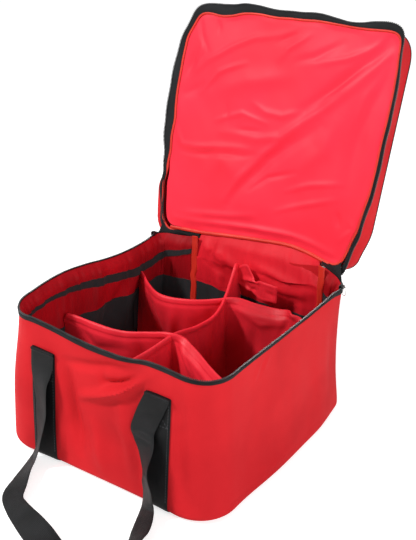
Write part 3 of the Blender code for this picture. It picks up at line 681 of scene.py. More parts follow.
lining = {
    "ripples": [(46, 900, 0.7, 0.3), (29, -700, 0.5, 1.1), (83, 400, 0.6, 2.6),
                (17, 1200, 0.3, 0.9)],
    "gathers": [(13, 500, 0.75, 0.3), (19, -240, 0.8, 1.4), (31, 300, 0.6, 0.2)],
    "face": 0.0098, "taper": 0.0170, "edgeDepth": 0.0016, "thickness": 0.0008, "pitch": 0.0028,
    "foot": 0.0151, "top": 0.2415, "backTop": 0.1700, "slack": 1.6, "mostSlack": 6.5,
    "foamGap": 0.0008, "foamFoot": 0.0145, "foamTop": 0.2375, "foamBackTop": 0.2060,
    "inner": 0.0109,
}
liningFolds = (
    wallLines("back", [
        (6, -3.0, (-85, 253), (-71, 233), (-79, 206)), (9, 3.0, (-96, 238), (-45, 224), (-5, 206)),
        (6, -2.8, (-85, 205), (-48, 195), (-10, 198)), (6, -2.8, (29, 214), (93, 206), (147, 203)),
        (8, 2.6, (20, 228), (85, 219), (140, 213)), (8, 2.2, (40, 196), (95, 186), (140, 190)),
        (7, -2.0, (60, 182), (130, 176)), (7, 2.2, (-60, 180), (-30, 150), (-26, 90)),
        (8, 2.2, (70, 160), (80, 90)), (7, 1.8, (118, 160), (112, 70))])
    + wallLines("left", [(7, 2.2, (150, 170), (140, 60)), (8, 2.4, (90, 175), (96, 50)),
                         (8, 2.2, (30, 180), (20, 70)), (9, 2.4, (-50, 190), (-40, 80)),
                         (5, 1.6, (120, 206), (118, 160)), (5, 1.6, (66, 206), (64, 160)),
                         (5, 1.6, (10, 208), (6, 160)), (5, 1.4, (-22, 208), (-24, 160))])
    + wallLines("right", [(8, 2.0, (120, 190), (110, 60)), (9, 2.2, (30, 190), (40, 60))])
    + wallLines("front", [(9, 2.0, (60, 190), (50, 60)), (9, 2.2, (-60, 190), (-70, 60))]))


def liningSlack(s, z):
    # How far the lining stands off its foam: ripples and folds, with short ones near the rim.
    uneven = 0.65 + 0.35 * np.sin(s * 71 + z * 90) * np.sin(s * 29 + 1)
    gathers = waves(s, z, lining["gathers"]) * ease((z - 0.130) / 0.06) * uneven
    slack = (waves(s, z, lining["ripples"]) + lining["slack"] * foldLines(s, z, liningFolds)
             + np.where(s < seamEnd, gathers, 0))
    fade = ease((0.2425 - z) / 0.016) * ease((z - 0.012) / 0.02)
    return np.clip(slack + lining["slack"], 0.0, lining["mostSlack"]) * mm * fade


def liningDepth(z):
    # Straight up the foam, then slanting out over its tapered top to the zip tape.
    share = np.clip((z - (bag["rim"] - 0.0035 - lining["taper"])) / lining["taper"], 0, 1)
    return lining["face"] - (lining["face"] - lining["edgeDepth"]) * share ** 1.5


def makeWallFoam(name, span, standsFor, top):
    s = columnSpan(*span, walls["pitch"])[:, None]
    z = np.linspace(lining["foamFoot"], top, 50)[None, :]
    inner = np.maximum(liningDepth(z) - lining["foamGap"], 0.0028)
    grids = [wallPlace(s, depth, z) for depth in (np.minimum(0.0026, inner - 0.0002), inner)]
    makeSheet(name, grids, (s, z), "cellFoam", "bag", standsFor, "closed_cell_foam")


def makeWallLining(name, span, standsFor, finish, top):
    s = columnSpan(*span, lining["pitch"])[:, None]
    z = np.linspace(lining["foot"], top, 56)[None, :]
    slack = liningSlack(s, z)
    grids = [wallPlace(s, liningDepth(z) + lift + slack, z) for lift in (lining["thickness"], 0.0)]
    makeSheet(name, grids, (s, z), finish, "bag", standsFor, "wall_lining_cloth")


makeWallFoam("wall_foam_sheet", wallSpan, ("wall_foam",), lining["foamTop"])
makeWallFoam("back_foam_sheet", backSpan, ("back_foam",), lining["foamBackTop"])
# the walls' lining is drawn in the darkened copy of its colour, painted shade; the back's is not
makeWallLining("wall_lining_cloth", wallSpan, ("wall_lining",), "wallNylonPaintedShade", lining["top"])
makeWallLining("back_lining_cloth", backSpan, ("back_lining",), "hingeNylon", lining["backTop"])
print("bag scene: linings hung")


# Loop bands and seam bindings on the lining

bands = {
    "trim": 0.0068, "thickness": 0.0010,
    # height of the upper band's top and its width, mm, over the outline
    "upper": [
        ("back", (-0.1091, 222, 9), (-0.16, 214, 12)), ("leftRear", (0.5, 208, 15)),
        ("left", (0.16, 206, 17), (0.1, 209, 17), (0.05, 215, 17), (0.0, 216, 14), (-0.06, 217, 9),
         (-0.11, 219, 7)), ("leftFront", (0.5, 216, 9)), ("front", (0.0, 210, 14)),
        ("rightFront", (0.5, 205, 16)), ("right", (0.0, 204, 17)), ("rightRear", (0.5, 204, 17)),
        ("back", (0.1579, 204, 17))],
    "lower": [
        ("back", (-0.1091, 158, 100)), ("left", (0.15, 155, 100), (0.0, 157, 100)),
        ("leftFront", (0.5, 156, 100)), ("rightFront", (0.5, 155, 100)),
        ("rightRear", (0.5, 155, 100)),
        ("back", (0.1579, 155, 100), (0.0, 158, 100), (-0.1089, 160, 100))],
}
binding = {"halfWidth": 0.0066, "arch": 0.0026, "edge": 0.0004, "low": 0.0160}


def makeBand(name, start, stop, sides, standsFor):
    # A strip of even thickness laid on the lining's inner face, following its ripples.
    s = columnSpan(start, stop, 0.005)
    size = overOutline(sides)(s)
    share = np.linspace(0, 1, 12)[None, :]
    z = size[:, :1] - size[:, 1:2] * (1 - share)
    s = s[:, None]
    under = lining["inner"] + liningSlack(s, z)
    grids = [wallPlace(s, under + lift, z) for lift in (bands["thickness"], 0.0)]
    makeSheet(name, grids, (s, z), "loopPile", "bag", standsFor, "loop_and_hook")


trim = bands["trim"]
makeBand("upper_loop_strip", trim, seamEnd - trim, bands["upper"], ("upper_loop_band",))
makeBand("lower_loop_strip", trim, seamEnd - trim, bands["lower"], ("lower_loop_band",))
makeBand("back_loop_strip", seamEnd + trim, loopEnd - trim, bands["lower"], ("back_loop_band",))


def makeSeamBinding(name, seam, standsFor):
    # A folded tape proud of the lining: a flat arch across, run from the floor to the rim.
    across = np.linspace(-1, 1, 13)[None, :]
    arch = binding["arch"] * np.sqrt(np.clip(1 - across ** 4, 0, 1))
    z = np.linspace(binding["low"], bag["rim"] + 0.001, 70)[:, None]
    wander = 0.0006 * np.sin(z * 160) + 0.0018 * np.exp(-((z - 0.170) / 0.006) ** 2)
    place = (seam + across * binding["halfWidth"] + wander) % loopEnd
    under = lining["inner"] + np.clip(liningSlack(place, z + across * 0), 0.0, 0.0012)
    grids = [wallPlace(place, under + arch + binding["edge"], z), wallPlace(place, under, z)]
    makeSheet(name, grids, (across * binding["halfWidth"], z), "bindingGrosgrain", "bag",
              standsFor, "binding_tape")


makeSeamBinding("left_seam_tape", 0.0, ("seam_binding_left",))
makeSeamBinding("right_seam_tape", seamEnd, ("seam_binding_right",))
print("bag scene: bands sewn")


# Zip: tapes, and teeth of which each is a small loaf across the tape's edge

zipLook = {
    "toothPitch": 0.0025, "tape": 0.0009,
    # a tooth's length along the tape, height and width
    "tooth": (0.0016, 0.0019, 0.0024),
    "lowerTape": [
        ("back", (-0.1091, 9)), ("left", (0.1, 9), (-0.1, 7)),
        ("front", (-0.1, 6.5), (0.0, 7.5), (0.06, 5), (0.12, 6)), ("rightFront", (0.5, 5.5)),
        ("right", (-0.1, 4.4), (0.12, 4.4)), ("rightRear", (0.6, 9)), ("back", (0.1579, 8))],
}
toothLine = np.arange(along("leftRear", 0.5), along("rightRear", 0.5), zipLook["toothPitch"])


def makeTeeth(name, centres, headings, ups, body, standsFor, size=zipLook["tooth"],
              finish="coilNylon", slot="zip_coil"):
    # Six-sided loaves: their outline stands along the tape's edge and runs across it.
    length, height, width = size
    headings, ups = unit(headings), unit(ups)
    across = np.cross(headings, ups)
    outline = [(-1, -1), (1, -1), (1, 0.45), (0.45, 1), (-0.45, 1), (-1, 0.45)]
    points = np.stack([centres + headings * (a * length / 2) + ups * (b * height / 2)
                       + across * (end * width / 2) for end in (-1, 1) for a, b in outline], 1)
    rings = [(i, (i + 1) % 6, 6 + (i + 1) % 6, 6 + i) for i in range(6)]
    rings += [(0, 1, 2, 3), (0, 3, 4, 5), (9, 8, 7, 6), (11, 10, 9, 6)]
    base = np.arange(len(points))[:, None] * 2 * len(outline)
    faces = np.concatenate([base + np.array(ring) for ring in rings])
    points = points.reshape(-1, 3)
    makeMesh(name, points, faces.tolist(), points[faces][..., :2], finish, body, standsFor, slot,
             30)


def makeLowerZip():
    s = columnSpan(*wallSpan, 0.004)[:, None]
    share = np.linspace(0, 1, 7)[None, :]
    top = bag["rim"] - 0.0030
    z = top - overOutline(zipLook["lowerTape"])(s)[..., 0] * (1 - share)
    lean = 0.0004 * (1 + np.sin(s * 210)) * share
    grids = [wallPlace(s, -bag["gap"] - offset - lean, z) for offset in (zipLook["tape"], 0.0)]
    makeSheet("lower_zip_tape", grids, (s, z), "zipTapeKnit", "bag", ("zip_tape_lower",),
              "zip_tape_cloth")
    rail = bag["rim"] - 0.00195
    centres, below = (wallPlace(toothLine, bag["gap"], np.full(len(toothLine), z))
                      for z in (rail, rail - 0.004))
    makeTeeth("lower_zip_teeth", centres, np.gradient(centres, axis=0), centres - below, "bag",
              ("zip_coil_lower",))


makeLowerZip()
print("bag scene: lower zip sewn")


# Lid pieces

def makeLidSkirt(name, span, low, standsFor):
    s = columnSpan(*span, 0.0045)[:, None]
    h = np.linspace(low, lid["skirtTop"], 22)[None, :]
    grids = [lidPlace(s, depth, h) for depth in (0.0, bag["cloth"])]
    makeSheet(name, grids, (s, h), "outerPolyester", "lid", standsFor, "outer_cloth")


makeLidSkirt("lid_skirt_cloth", wallSpan, 0.0030, ("lid_skirt",))
makeLidSkirt("lid_rear_cloth", backSpan, 0.0020, ("lid_rear_panel",))


def roundedHalf(y, inset):
    # Half width of the plan at y, its corners drawn in by the inset.
    front, rear = bag["frontRadius"] - inset, max(bag["rearRadius"] - inset, 0.004)
    toFront = np.clip(-(y + backY - bag["frontRadius"]), 0, front)
    toRear = np.clip(y - (backY - bag["rearRadius"]), 0, rear)
    return (halfWidth - inset - (front - np.sqrt(np.maximum(front ** 2 - toFront ** 2, 0)))
            - (rear - np.sqrt(np.maximum(rear ** 2 - toRear ** 2, 0))))


def lidGrid(inset, count):
    # A grid over the lid's plan: rows by y, columns by share of the half width there.
    share = np.linspace(-1, 1, count)[:, None]
    v = np.linspace(-1, 1, count)
    v = np.sign(v) * (1 - (1 - np.abs(v)) ** 1.15)
    y = (v * (backY - inset))[None, :]
    return np.broadcast_arrays(share * roundedHalf(y, inset), y, share)


def fromEdge(share, y, halfDepth, soft):
    # 1 over the middle of a lid sheet, easing to 0 at its edges over the soft share.
    return ease((1 - np.abs(share)) / soft) * ease((1 - np.abs(y) / halfDepth) / soft)


def lidSheetPoints(x, y, height, hingeShare=0.0):
    points = np.stack(np.broadcast_arrays(x, y, height), -1)
    return openLid(points + lidShift(x, y, np.abs(height), hingeShare))


lidLining = {
    "inset": 0.0030, "height": 0.0030, "count": 190, "foldHeight": 1.9, "crown": 4.2,
    "deepest": -2.6, "ripples": [(210, -170, 0.8, 0.6), (95, 140, 0.35, 2.0), (48, -62, 0.12, 0.2)],
    # ridges and valleys of the soft folds, mm: width, height, then places on the shut lid
    "folds": [
        (9, -2.6, (178, -183), (142, -148), (105, -109), (75, -75), (48, -51)),
        (10, -2.4, (89, -33), (62, -7), (38, 14), (5, 47), (-18, 81), (-42, 111), (-56, 144)),
        (8, 1.8, (177, -167), (125, -104), (80, -55), (48, -25), (19, 0), (-24, 11), (-65, 10),
         (-97, 11)), (7, 1.4, (49, -21), (25, 1), (-7, 37), (-46, 94), (-68, 138)),
        (6, 1.2, (48, -51), (16, -38), (-15, -40), (-42, -53)),
        (8, -1.2, (-185, -45), (-163, -63), (-139, -80)),
        (7, 1.2, (-189, -63), (-174, -92), (-148, -123), (-111, -143), (-65, -168), (1, -186)),
        (6, -1.4, (-175, 58), (-119, 55), (-46, 47), (-25, 41)), (5, -0.9, (-63, 1), (-17, -5)),
        (6, 1.4, (-191, 20), (-174, 45), (-122, 41), (-39, 32)),
        (14, -2.4, (188, -157), (172, -122), (161, -77), (156, -36), (156, 11), (157, 62)),
        (9, 1.6, (180, -146), (159, -98), (147, -29)), (6, 1.1, (53, 98), (92, 77), (145, 60)),
        (6, 1.0, (43, 142), (97, 115), (147, 90)), (6, -1.1, (154, 111), (164, 140)),
        (6, 1.1, (34, -184), (2, -156), (-9, -135)), (6, -1.1, (11, -186), (-20, -166)),
        (6, 1.1, (169, -186), (112, -156), (57, -136)),
        (7, -1.2, (98, -179), (54, -147), (22, -137)), (7, -1.2, (-172, -134), (-182, -89)),
        (6, 1.1, (-162, -153), (-169, -111)), (5, -0.7, (-90, -44), (-90, -5)),
        (8, 1.4, (-162, 177), (-114, 173), (-54, 169), (0, 160)),
        (6, 1.1, (182, 122), (193, 133), (179, 161)),
        (16, 2.0, (-120, -60), (-60, -90), (20, -110)),
        (18, 1.8, (-120, 110), (-90, 60), (-40, 90)), (16, 1.6, (60, 60), (100, 10), (120, -60)),
        (7, 1.8, (-178, 190), (-90, 188), (0, 187), (90, 188), (172, 190)),
        (5, -0.9, (-188, -192), (-172, -166), (-150, -140)), (5, -0.8, (-154, -199), (-144, -176)),
        (5, -0.7, (176, -194), (160, -176)), (5, 1.3, (-150, -60), (-120, -100), (-70, -120)),
        (5, 1.2, (60, -60), (110, -100), (150, -150)), (5, -1.3, (-20, 110), (10, 80), (60, 60)),
        (5, 1.2, (-110, -10), (-60, -30), (-10, -20))],
}


def makeLidLining():
    # Flush sheet, crowned by the wadding, less the fan of folds from the far corner.
    look = lidLining
    x, y, share = lidGrid(look["inset"], look["count"])
    halfDepth = backY - look["inset"]
    bend = look["foldHeight"] * foldLines(x, y, look["folds"]) + waves(x, y, look["ripples"])
    bend = (bend * fromEdge(share, y, halfDepth, 0.05)
            + look["crown"] * fromEdge(share, y, halfDepth, 0.35))
    height = look["height"] - np.maximum(bend, look["deepest"]) * mm
    grids = [lidSheetPoints(x, y, height + back, 1.0) for back in (0.0, lining["thickness"])]
    makeSheet("lid_lining_cloth", grids, (x, y), "lidSatin", "lid", ("lid_lining",),
              "lid_lining_cloth")


def makeLidPanel():
    # Outer panel: gently puffed by the foam under it.
    x, y, share = lidGrid(0.0021, 90)
    puff = 2.4 + waves(x, y, [(190, 260, 0.8, 0.3), (120, -150, 0.6, 1.4)])
    puff = puff * fromEdge(share, y, backY, 0.3) * mm
    grids = [lidSheetPoints(x, y, lid[face] + puff) for face in ("panelOuter", "panelInner")]
    makeSheet("lid_panel_cloth", grids, (x, y), "outerPolyester", "lid", ("lid_panel",),
              "outer_cloth")


def makeLidPad(name, inset, low, high, finish, standsFor, slot):
    x, y, share = lidGrid(inset, 60)
    swell = 0.0012 * (fromEdge(share, y, backY - inset, 0.08) - 1)
    grids = [lidSheetPoints(x, y, height) for height in (low - swell, high + swell)]
    makeSheet(name, grids, (x, y), finish, "lid", standsFor, slot)


makeLidLining()
makeLidPanel()
makeLidPad("lid_foam_sheet", 0.0050, 0.0382, 0.0470, "cellFoam", ("lid_foam",), "closed_cell_foam")
makeLidPad("lid_wadding_pad", 0.0090, 0.0075, 0.0372, "needledWadding", ("lid_wadding",),
           "loose_wadding")


def tubeRings(middles, headings, ups, radii):
    # Circles of the given radii round a path, square to its heading.
    headings = unit(headings)
    sides = unit(np.cross(headings, ups))
    ups = np.cross(sides, headings)
    turn = np.linspace(0, 2 * math.pi, 8, endpoint=False)
    wide, high = radii
    return (middles[:, None] + sides[:, None] * (np.cos(turn) * wide)[None, :, None]
            + ups[:, None] * (np.sin(turn) * high)[None, :, None])


def makeLidEdge(name, depth, height, radii, hingeShare, finish, standsFor, slot):
    # A cord or tape all round the lid, at a depth inside the plan and a height from the zip.
    s = np.linspace(0, loopEnd, 380, endpoint=False)
    middles, above = (lidPlace(s, depth, np.full(len(s), h), hingeShare)
                      for h in (height, height + 0.003))
    headings = np.roll(middles, -1, 0) - np.roll(middles, 1, 0)
    turn = np.linspace(0, 0.008, 8)[None, :]
    places = np.stack(np.broadcast_arrays(np.append(s, loopEnd)[:, None], turn), -1)
    makeSkin(name, tubeRings(middles, headings, above - middles, radii), places, finish, "lid",
             standsFor, slot, closed=True)


def makeLidZip():
    # The tape flares out from the lining's edge by its visible width; teeth on its rim.
    s = columnSpan(*wallSpan, 0.004)[:, None]
    share = np.linspace(0, 1, 9)[None, :]
    flare = tapeWidth(s)[..., 0] * share
    height = 0.0012 - 0.0014 * np.sin(math.pi * share) + 0.0008 * np.sin(s * 95) * share
    grids = [lidPlace(s, 0.0004 - flare, height + lift) for lift in (0.0, zipLook["tape"])]
    makeSheet("upper_zip_tape", grids, (s, flare), "zipTapeKnit", "lid", ("zip_tape_upper",),
              "zip_tape_cloth")
    reach = tapeWidth(toothLine)[:, 0]
    level = 0.0006 + 0.0008 * np.sin(toothLine * 95)
    centres = lidPlace(toothLine, -reach, level)
    ups = centres - lidPlace(toothLine, 0.004 - reach, level)
    makeTeeth("upper_zip_teeth", centres, np.gradient(centres, axis=0), ups, "lid",
              ("zip_coil_upper",))


# Piping round the panel, and the thin binding between the lining and the tape
makeLidEdge("lid_piping_cord", 0.0002, 0.0487, (0.0013, 0.0013), 0.0, "zipTapeKnit",
            ("lid_piping",), "piping_cord")
makeLidEdge("lid_binding_tape", 0.0014, 0.0018, (0.0021, 0.0014), 1.0, "bindingGrosgrain",
            ("lid_binding",), "binding_tape")
makeLidZip()
print("bag scene: lid dressed")


# Hinge: the back lining runs on up to the lid; its binding band, and the zip's closed ends

hinge = {
    "band": 0.0052, "bandLeft": -0.184, "bandRight": 0.178, "low": 0.1660, "turn": 0.2060,
    "bow": 0.0035, "lap": 0.0014,
    "folds": wallLines("back", [(10, 1.8, (-60, 250), (0, 250), (80, 254), (140, 250)),
                                (7, -1.4, (-85, 252), (-40, 262), (10, 268))]),
}


def blendedSheet(name, rows, places, finish, standsFor, slot, start, end):
    # A sheet through rows of points, the first on the bag and the last on the lid.
    back = rows + np.array([0, 0.0012, -0.0004])
    piece = makeSheet(name, (rows, back), (places, rows[:1, :, 2]), finish, None, standsFor, slot)
    start, end = (tuple(map(float, place.reshape(-1, 3).mean(0))) for place in (start, end))
    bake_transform(piece)


def makeHingeCloth():
    # Up the back wall from its loop band, then slanting to the lid's lining behind its binding.
    x = columnSpan(bag["leftSeam"] + 0.0002, bag["rightSeam"] - 0.0002, lining["pitch"])[:, None]
    place = along("back", 0.0) - x
    rise = np.linspace(hinge["low"], hinge["turn"], 16)[None, :]
    wall = wallPlace(place, liningDepth(rise) + hinge["lap"] + liningSlack(place, rise), rise)
    high = lidSheetPoints(x, np.full(x.shape, backY), np.full(x.shape, 0.0016), 1.0)
    share = np.linspace(0, 1, 26)[None, 1:, None]
    slant = wallPlace(place, liningDepth(hinge["turn"]) + hinge["lap"],
                      np.full(x.shape, hinge["turn"]))
    slant = slant + (high - slant) * share
    bend = (lining["slack"] * foldLines(place, slant[..., 2], liningFolds + hinge["folds"])
            + waves(place, slant[..., 2], lining["ripples"]) + lining["slack"])
    share = share[..., 0]
    edge = ease((0.130 - np.abs(x - 0.0245)) / 0.012) * 0.8 + 0.2
    inwards = (hinge["bow"] * np.sin(math.pi * share)
               + np.clip(bend, 0.0, lining["mostSlack"]) * mm * edge * (1 - share ** 4))
    slant = slant - inwards[..., None] * np.array([0, 1, 0])
    start = (slant[:, 9] + slant[:, 10]) / 2
    blendedSheet("hinge_cloth", np.concatenate([wall, slant], 1), x, "hingeNylon",
                 ("hinge_fold",), "wall_lining_cloth", start, high)


def makeHingeBand():
    # Flat tape over the seam of the lid's lining; the lining is tucked in behind its top edge.
    x = columnSpan(hinge["bandLeft"], hinge["bandRight"], 0.004)[:, None]
    share = np.linspace(0, 1, 7)[None, :]
    x, y = np.broadcast_arrays(x, backY - 0.0030 + hinge["band"] * share)
    lift = 0.0012 + 0.0009 * np.sin(math.pi * share) + 0.0004 * np.sin(x * 240)
    grids = [lidSheetPoints(x, y, -lift + thick, 1.0) for thick in (-0.0008, 0.0)]
    makeSheet("hinge_binding_band", grids, (x, y), "bindingGrosgrain", "lid", (), "binding_tape")


def makeZipEnd(name, start, stop):
    # The zip stays closed past each seam: black tape from the rim up to the lid's lining.
    s = columnSpan(start, stop, 0.003)[:, None]
    low = wallPlace(s, 0.0004, np.full(s.shape, bag["rim"] - 0.0034))
    high = lidPlace(s, 0.0012, np.full(s.shape, 0.0014), 1.0)
    share = np.linspace(0, 1, 12)[None, :, None]
    rows = low + (high - low) * share - np.sin(math.pi * share) * outlineAt(s)[1] * 0.0012
    blendedSheet(name, rows, s, "zipTapeKnit", (), "zip_tape_cloth", low, high)


makeHingeCloth()
makeHingeBand()
makeZipEnd("left_zip_end", bag["gap"], along("leftRear", 0.8))
makeZipEnd("right_zip_end", along("rightRear", 0.2), seamEnd - bag["gap"])
print("bag scene: hinge sewn")


# Webbing: its section is flat with rounded edges

sectionShare = np.linspace(-1, 1, 11)
sectionAcross = sectionShare * bag["webbingWidth"] / 2
sectionHalf = bag["webbing"] / 2 * (1 - np.abs(sectionShare) ** 10) ** 0.5


def runningLength(points):
    # The length run so far at each point of a path.
    return np.concatenate([[0], np.cumsum(np.linalg.norm(np.diff(points, axis=0), axis=1))])


def makeSewnStrap(name, middleX, standsFor):
    # Up the front wall, under the base and up the back wall, on the settled cloth.
    lift = bag["gap"] + bag["webbing"] / 2
    radius = bag["footRadius"] + lift
    turn = np.radians(np.linspace(0, 90, 9))[::-1]
    rise = np.linspace(bag["foldHeight"] - 0.003, curveTop + 0.004, 44)
    depth = np.concatenate([np.full(len(rise), -lift), bag["footRadius"] - radius * np.sin(turn)])
    height = np.concatenate([rise, curveTop - radius * np.cos(turn)])[:, None]
    half = sectionHalf + 0.0001
    middle = np.linspace(0, 1, 40)[1:-1, None, None]
    grids = []
    for sign in (1, -1):
        out = depth[:, None] - sign * half[None, :]
        front, back = (wallPlace(s[None, :] % loopEnd, out, height)
                       for s in (along("front", middleX) + sectionAcross,
                                 along("back", 0.0) - middleX - sectionAcross))
        back = back[::-1]
        under = front[-1][None] + (back[0] - front[-1])[None] * middle
        grids.append(np.concatenate([front, under, back]))
    length = runningLength(grids[0][:, 5])[:, None]
    grids = np.stack(grids)
    grids[..., 2] = np.maximum(grids[..., 2], 0.00005)
    makeSheet(name, grids, (sectionAcross[None, :], length), "webbingPolypropylene", "bag",
              standsFor, "black_webbing")


def makeStrapStitches(name, middleX):
    # Two rows up each strap and a box with a cross near its top, front and back.
    places, heads = [], []
    stitch, pitch, inset = (0.0034, 0.0006, 0.0008), 0.0048, bag["webbingWidth"] / 2 - 0.0035
    low, boxLow, boxTop = 0.022, 0.150, bag["foldHeight"] - 0.008
    rows = [((-inset, low), (-inset, boxTop)), ((inset, low), (inset, boxTop)),
            ((-inset, boxTop), (inset, boxTop)), ((-inset, boxLow), (inset, boxLow)),
            ((-inset, boxLow), (inset, boxTop)), ((inset, boxLow), (-inset, boxTop))]
    for front in (True, False):
        for (u0, z0), (u1, z1) in rows:
            count = int(math.hypot(u1 - u0, z1 - z0) / pitch)
            share = (np.arange(count) + 0.5) / count
            u, z = u0 + (u1 - u0) * share, z0 + (z1 - z0) * share
            s = along("front", middleX) + u if front else along("back", 0.0) - middleX - u
            line = wallPlace(s % loopEnd, -(bag["gap"] + bag["webbing"] + 0.0002), z)
            places.append(line)
            heads.append(np.gradient(line, axis=0))
    places, heads = np.concatenate(places), np.concatenate(heads)
    ups = np.zeros(places.shape)
    ups[:, 1] = np.sign(places[:, 1])
    makeTeeth(name, places, heads, ups, "bag", (), stitch, "threadBlack", None)


makeSewnStrap("left_strap", -strapX, ("webbing_left",))
makeSewnStrap("right_strap", strapX, ("webbing_right",))
makeStrapStitches("left_strap_stitches", -strapX)
makeStrapStitches("right_strap_stitches", strapX)

# The free handle's route: shares of half the strap spacing, of its reach and of the fold's
# height, then how far its width line turns from the right towards the back and tips up
handle = {
    "reach": 0.175, "roll": 0.0022, "axisY": 0.2144, "steps": 8,
    # creases: width, height, then places across the strap and along it from its right end, mm
    "creases": [
        (3, 1.6, (-20, 30), (4, 44), (21, 62)), (3, -1.4, (-22, 78), (0, 74), (21, 80)),
        (4, 1.5, (-21, 96), (10, 90), (22, 84)), (4, -1.4, (-20, 150), (20, 142)),
        (4, 1.3, (-22, 210), (22, 200)), (4, 1.4, (-22, 520), (20, 534)),
        (3, -1.4, (-20, 610), (22, 600)), (4, 1.5, (-20, 690), (22, 672)),
        (4, -1.3, (-22, 300), (22, 320)), (4, 1.3, (-22, 420), (22, 408))],
    "rows": [
        (-1.0, 0.0, 1.0, 0, 0), (-1.01, 0.006, 0.882, 0, 6), (-1.01, 0.024, 0.802, -8, 12),
        (-1.0, 0.049, 0.714, -19, 21), (-0.98, 0.063, 0.602, -25, 25),
        (-0.98, 0.069, 0.45, -25, 28), (-0.99, 0.086, 0.313, -33, 30),
        (-1.0, 0.099, 0.224, -39, 33), (-1.04, 0.104, 0.133, -38, 30),
        (-1.07, 0.143, 0.058, -32, 30), (-0.97, 0.302, 0.053, -25, 27),
        (-0.86, 0.465, 0.04, -14, 19), (-0.77, 0.602, 0.031, -3, 15),
        (-0.64, 0.683, 0.036, 12, 18), (-0.42, 0.763, 0.048, 24, 25),
        (-0.17, 0.832, 0.055, 38, 28), (0.09, 0.889, 0.04, 52, 20), (0.38, 0.952, 0.016, 66, 9),
        (0.71, 0.985, 0.0, 82, 0), (1.02, 0.979, 0.0, 102, 0), (1.27, 0.901, 0.0, 130, 0),
        (1.36, 0.769, 0.014, 150, -8), (1.33, 0.643, 0.039, 160, -20),
        (1.25, 0.522, 0.059, 155, -31), (1.18, 0.385, 0.055, 166, -28),
        (1.09, 0.25, 0.055, 165, -28), (0.99, 0.13, 0.061, 159, -32),
        (0.97, 0.109, 0.127, 149, -33), (0.95, 0.101, 0.202, 144, -33),
        (0.91, 0.097, 0.283, 140, -34), (0.91, 0.095, 0.368, 137, -36),
        (0.9, 0.083, 0.451, 146, -30), (0.88, 0.06, 0.536, 159, -25),
        (0.82, 0.035, 0.602, 170, -16), (0.78, 0.023, 0.664, 177, -5),
        (0.82, 0.018, 0.749, 177, 2), (0.91, 0.012, 0.88, 178, 5), (1.0, 0.0, 1.0, 180, 0)],
}


def handlePath():
    # Places and width lines on a smooth curve through the rows, then the rolled ends.
    rows = np.array(handle["rows"], float)
    floor = bag["webbing"] / 2
    knots = np.stack([rows[:, 0] * bag["webbingSpacing"] / 2, -rows[:, 1] * handle["reach"],
                      floor + rows[:, 2] * (bag["foldHeight"] - floor) - bag["foldHeight"]], 1)
    turn, tip = np.radians(rows[:, 3]), np.radians(rows[:, 4])
    widthLine = np.stack([np.cos(turn) * np.cos(tip), np.sin(turn) * np.cos(tip), np.sin(tip)], 1)
    count = len(rows)
    at = np.linspace(0, count - 1, (count - 1) * handle["steps"] + 1)
    places = smoothThrough(at, np.arange(count), knots)
    places[:, 2] = np.maximum(places[:, 2], floor - bag["foldHeight"])
    across = smoothThrough(at, np.arange(count), widthLine)
    free = places[:, 2] < -handle["roll"]
    angle = np.radians([-35, -10, 15, 40, 65, 90])
    roll = handle["roll"] + bag["webbing"] * 0.1
    left, right = (np.stack([np.full(6, x), -roll * np.sin(angle), roll * np.cos(angle)], 1)
                   for x in (-strapX, strapX))
    ends = np.tile([1.0, 0.0, 0.0], (6, 1))
    return (np.concatenate([left, places[free], right[::-1]]),
            unit(np.concatenate([ends, across[free], -ends])))


def makeHandle(body, side):
    # The front loop as it fell in the photo; the rear one is the same turned half round.
    places, across = handlePath()
    normals = unit(np.cross(across, np.gradient(places, axis=0)))
    length = runningLength(places)
    left = length[-1] - length
    crease = foldLines(sectionAcross[None, :], left[:, None], handle["creases"]) * mm
    crease = crease * ease(length / 0.02)[:, None] * ease(left / 0.02)[:, None]
    half = sectionHalf + 0.00012
    grids = np.stack([places[:, None] + across[:, None] * sectionAcross[None, :, None]
                      + normals[:, None] * (sign * half + crease)[..., None] for sign in (1, -1)])
    grids[..., 2] = np.maximum(grids[..., 2], -bag["foldHeight"]) + bag["foldHeight"]
    grids[..., 1] = -side * grids[..., 1] + side * handle["axisY"]
    grids[..., 0] *= -side
    makeSheet(body.replace("handle_", "") + "_carry_loop", grids,
              (sectionAcross[None, :], length[:, None]), "webbingPolypropylene", body, (body,),
              "black_webbing")


makeHandle("handle_front", -1)
makeHandle("handle_rear", 1)
print("bag scene: webbing sewn and laid")


# Dividers: thin padded panels; their foot keeps the planned line, their top has wandered

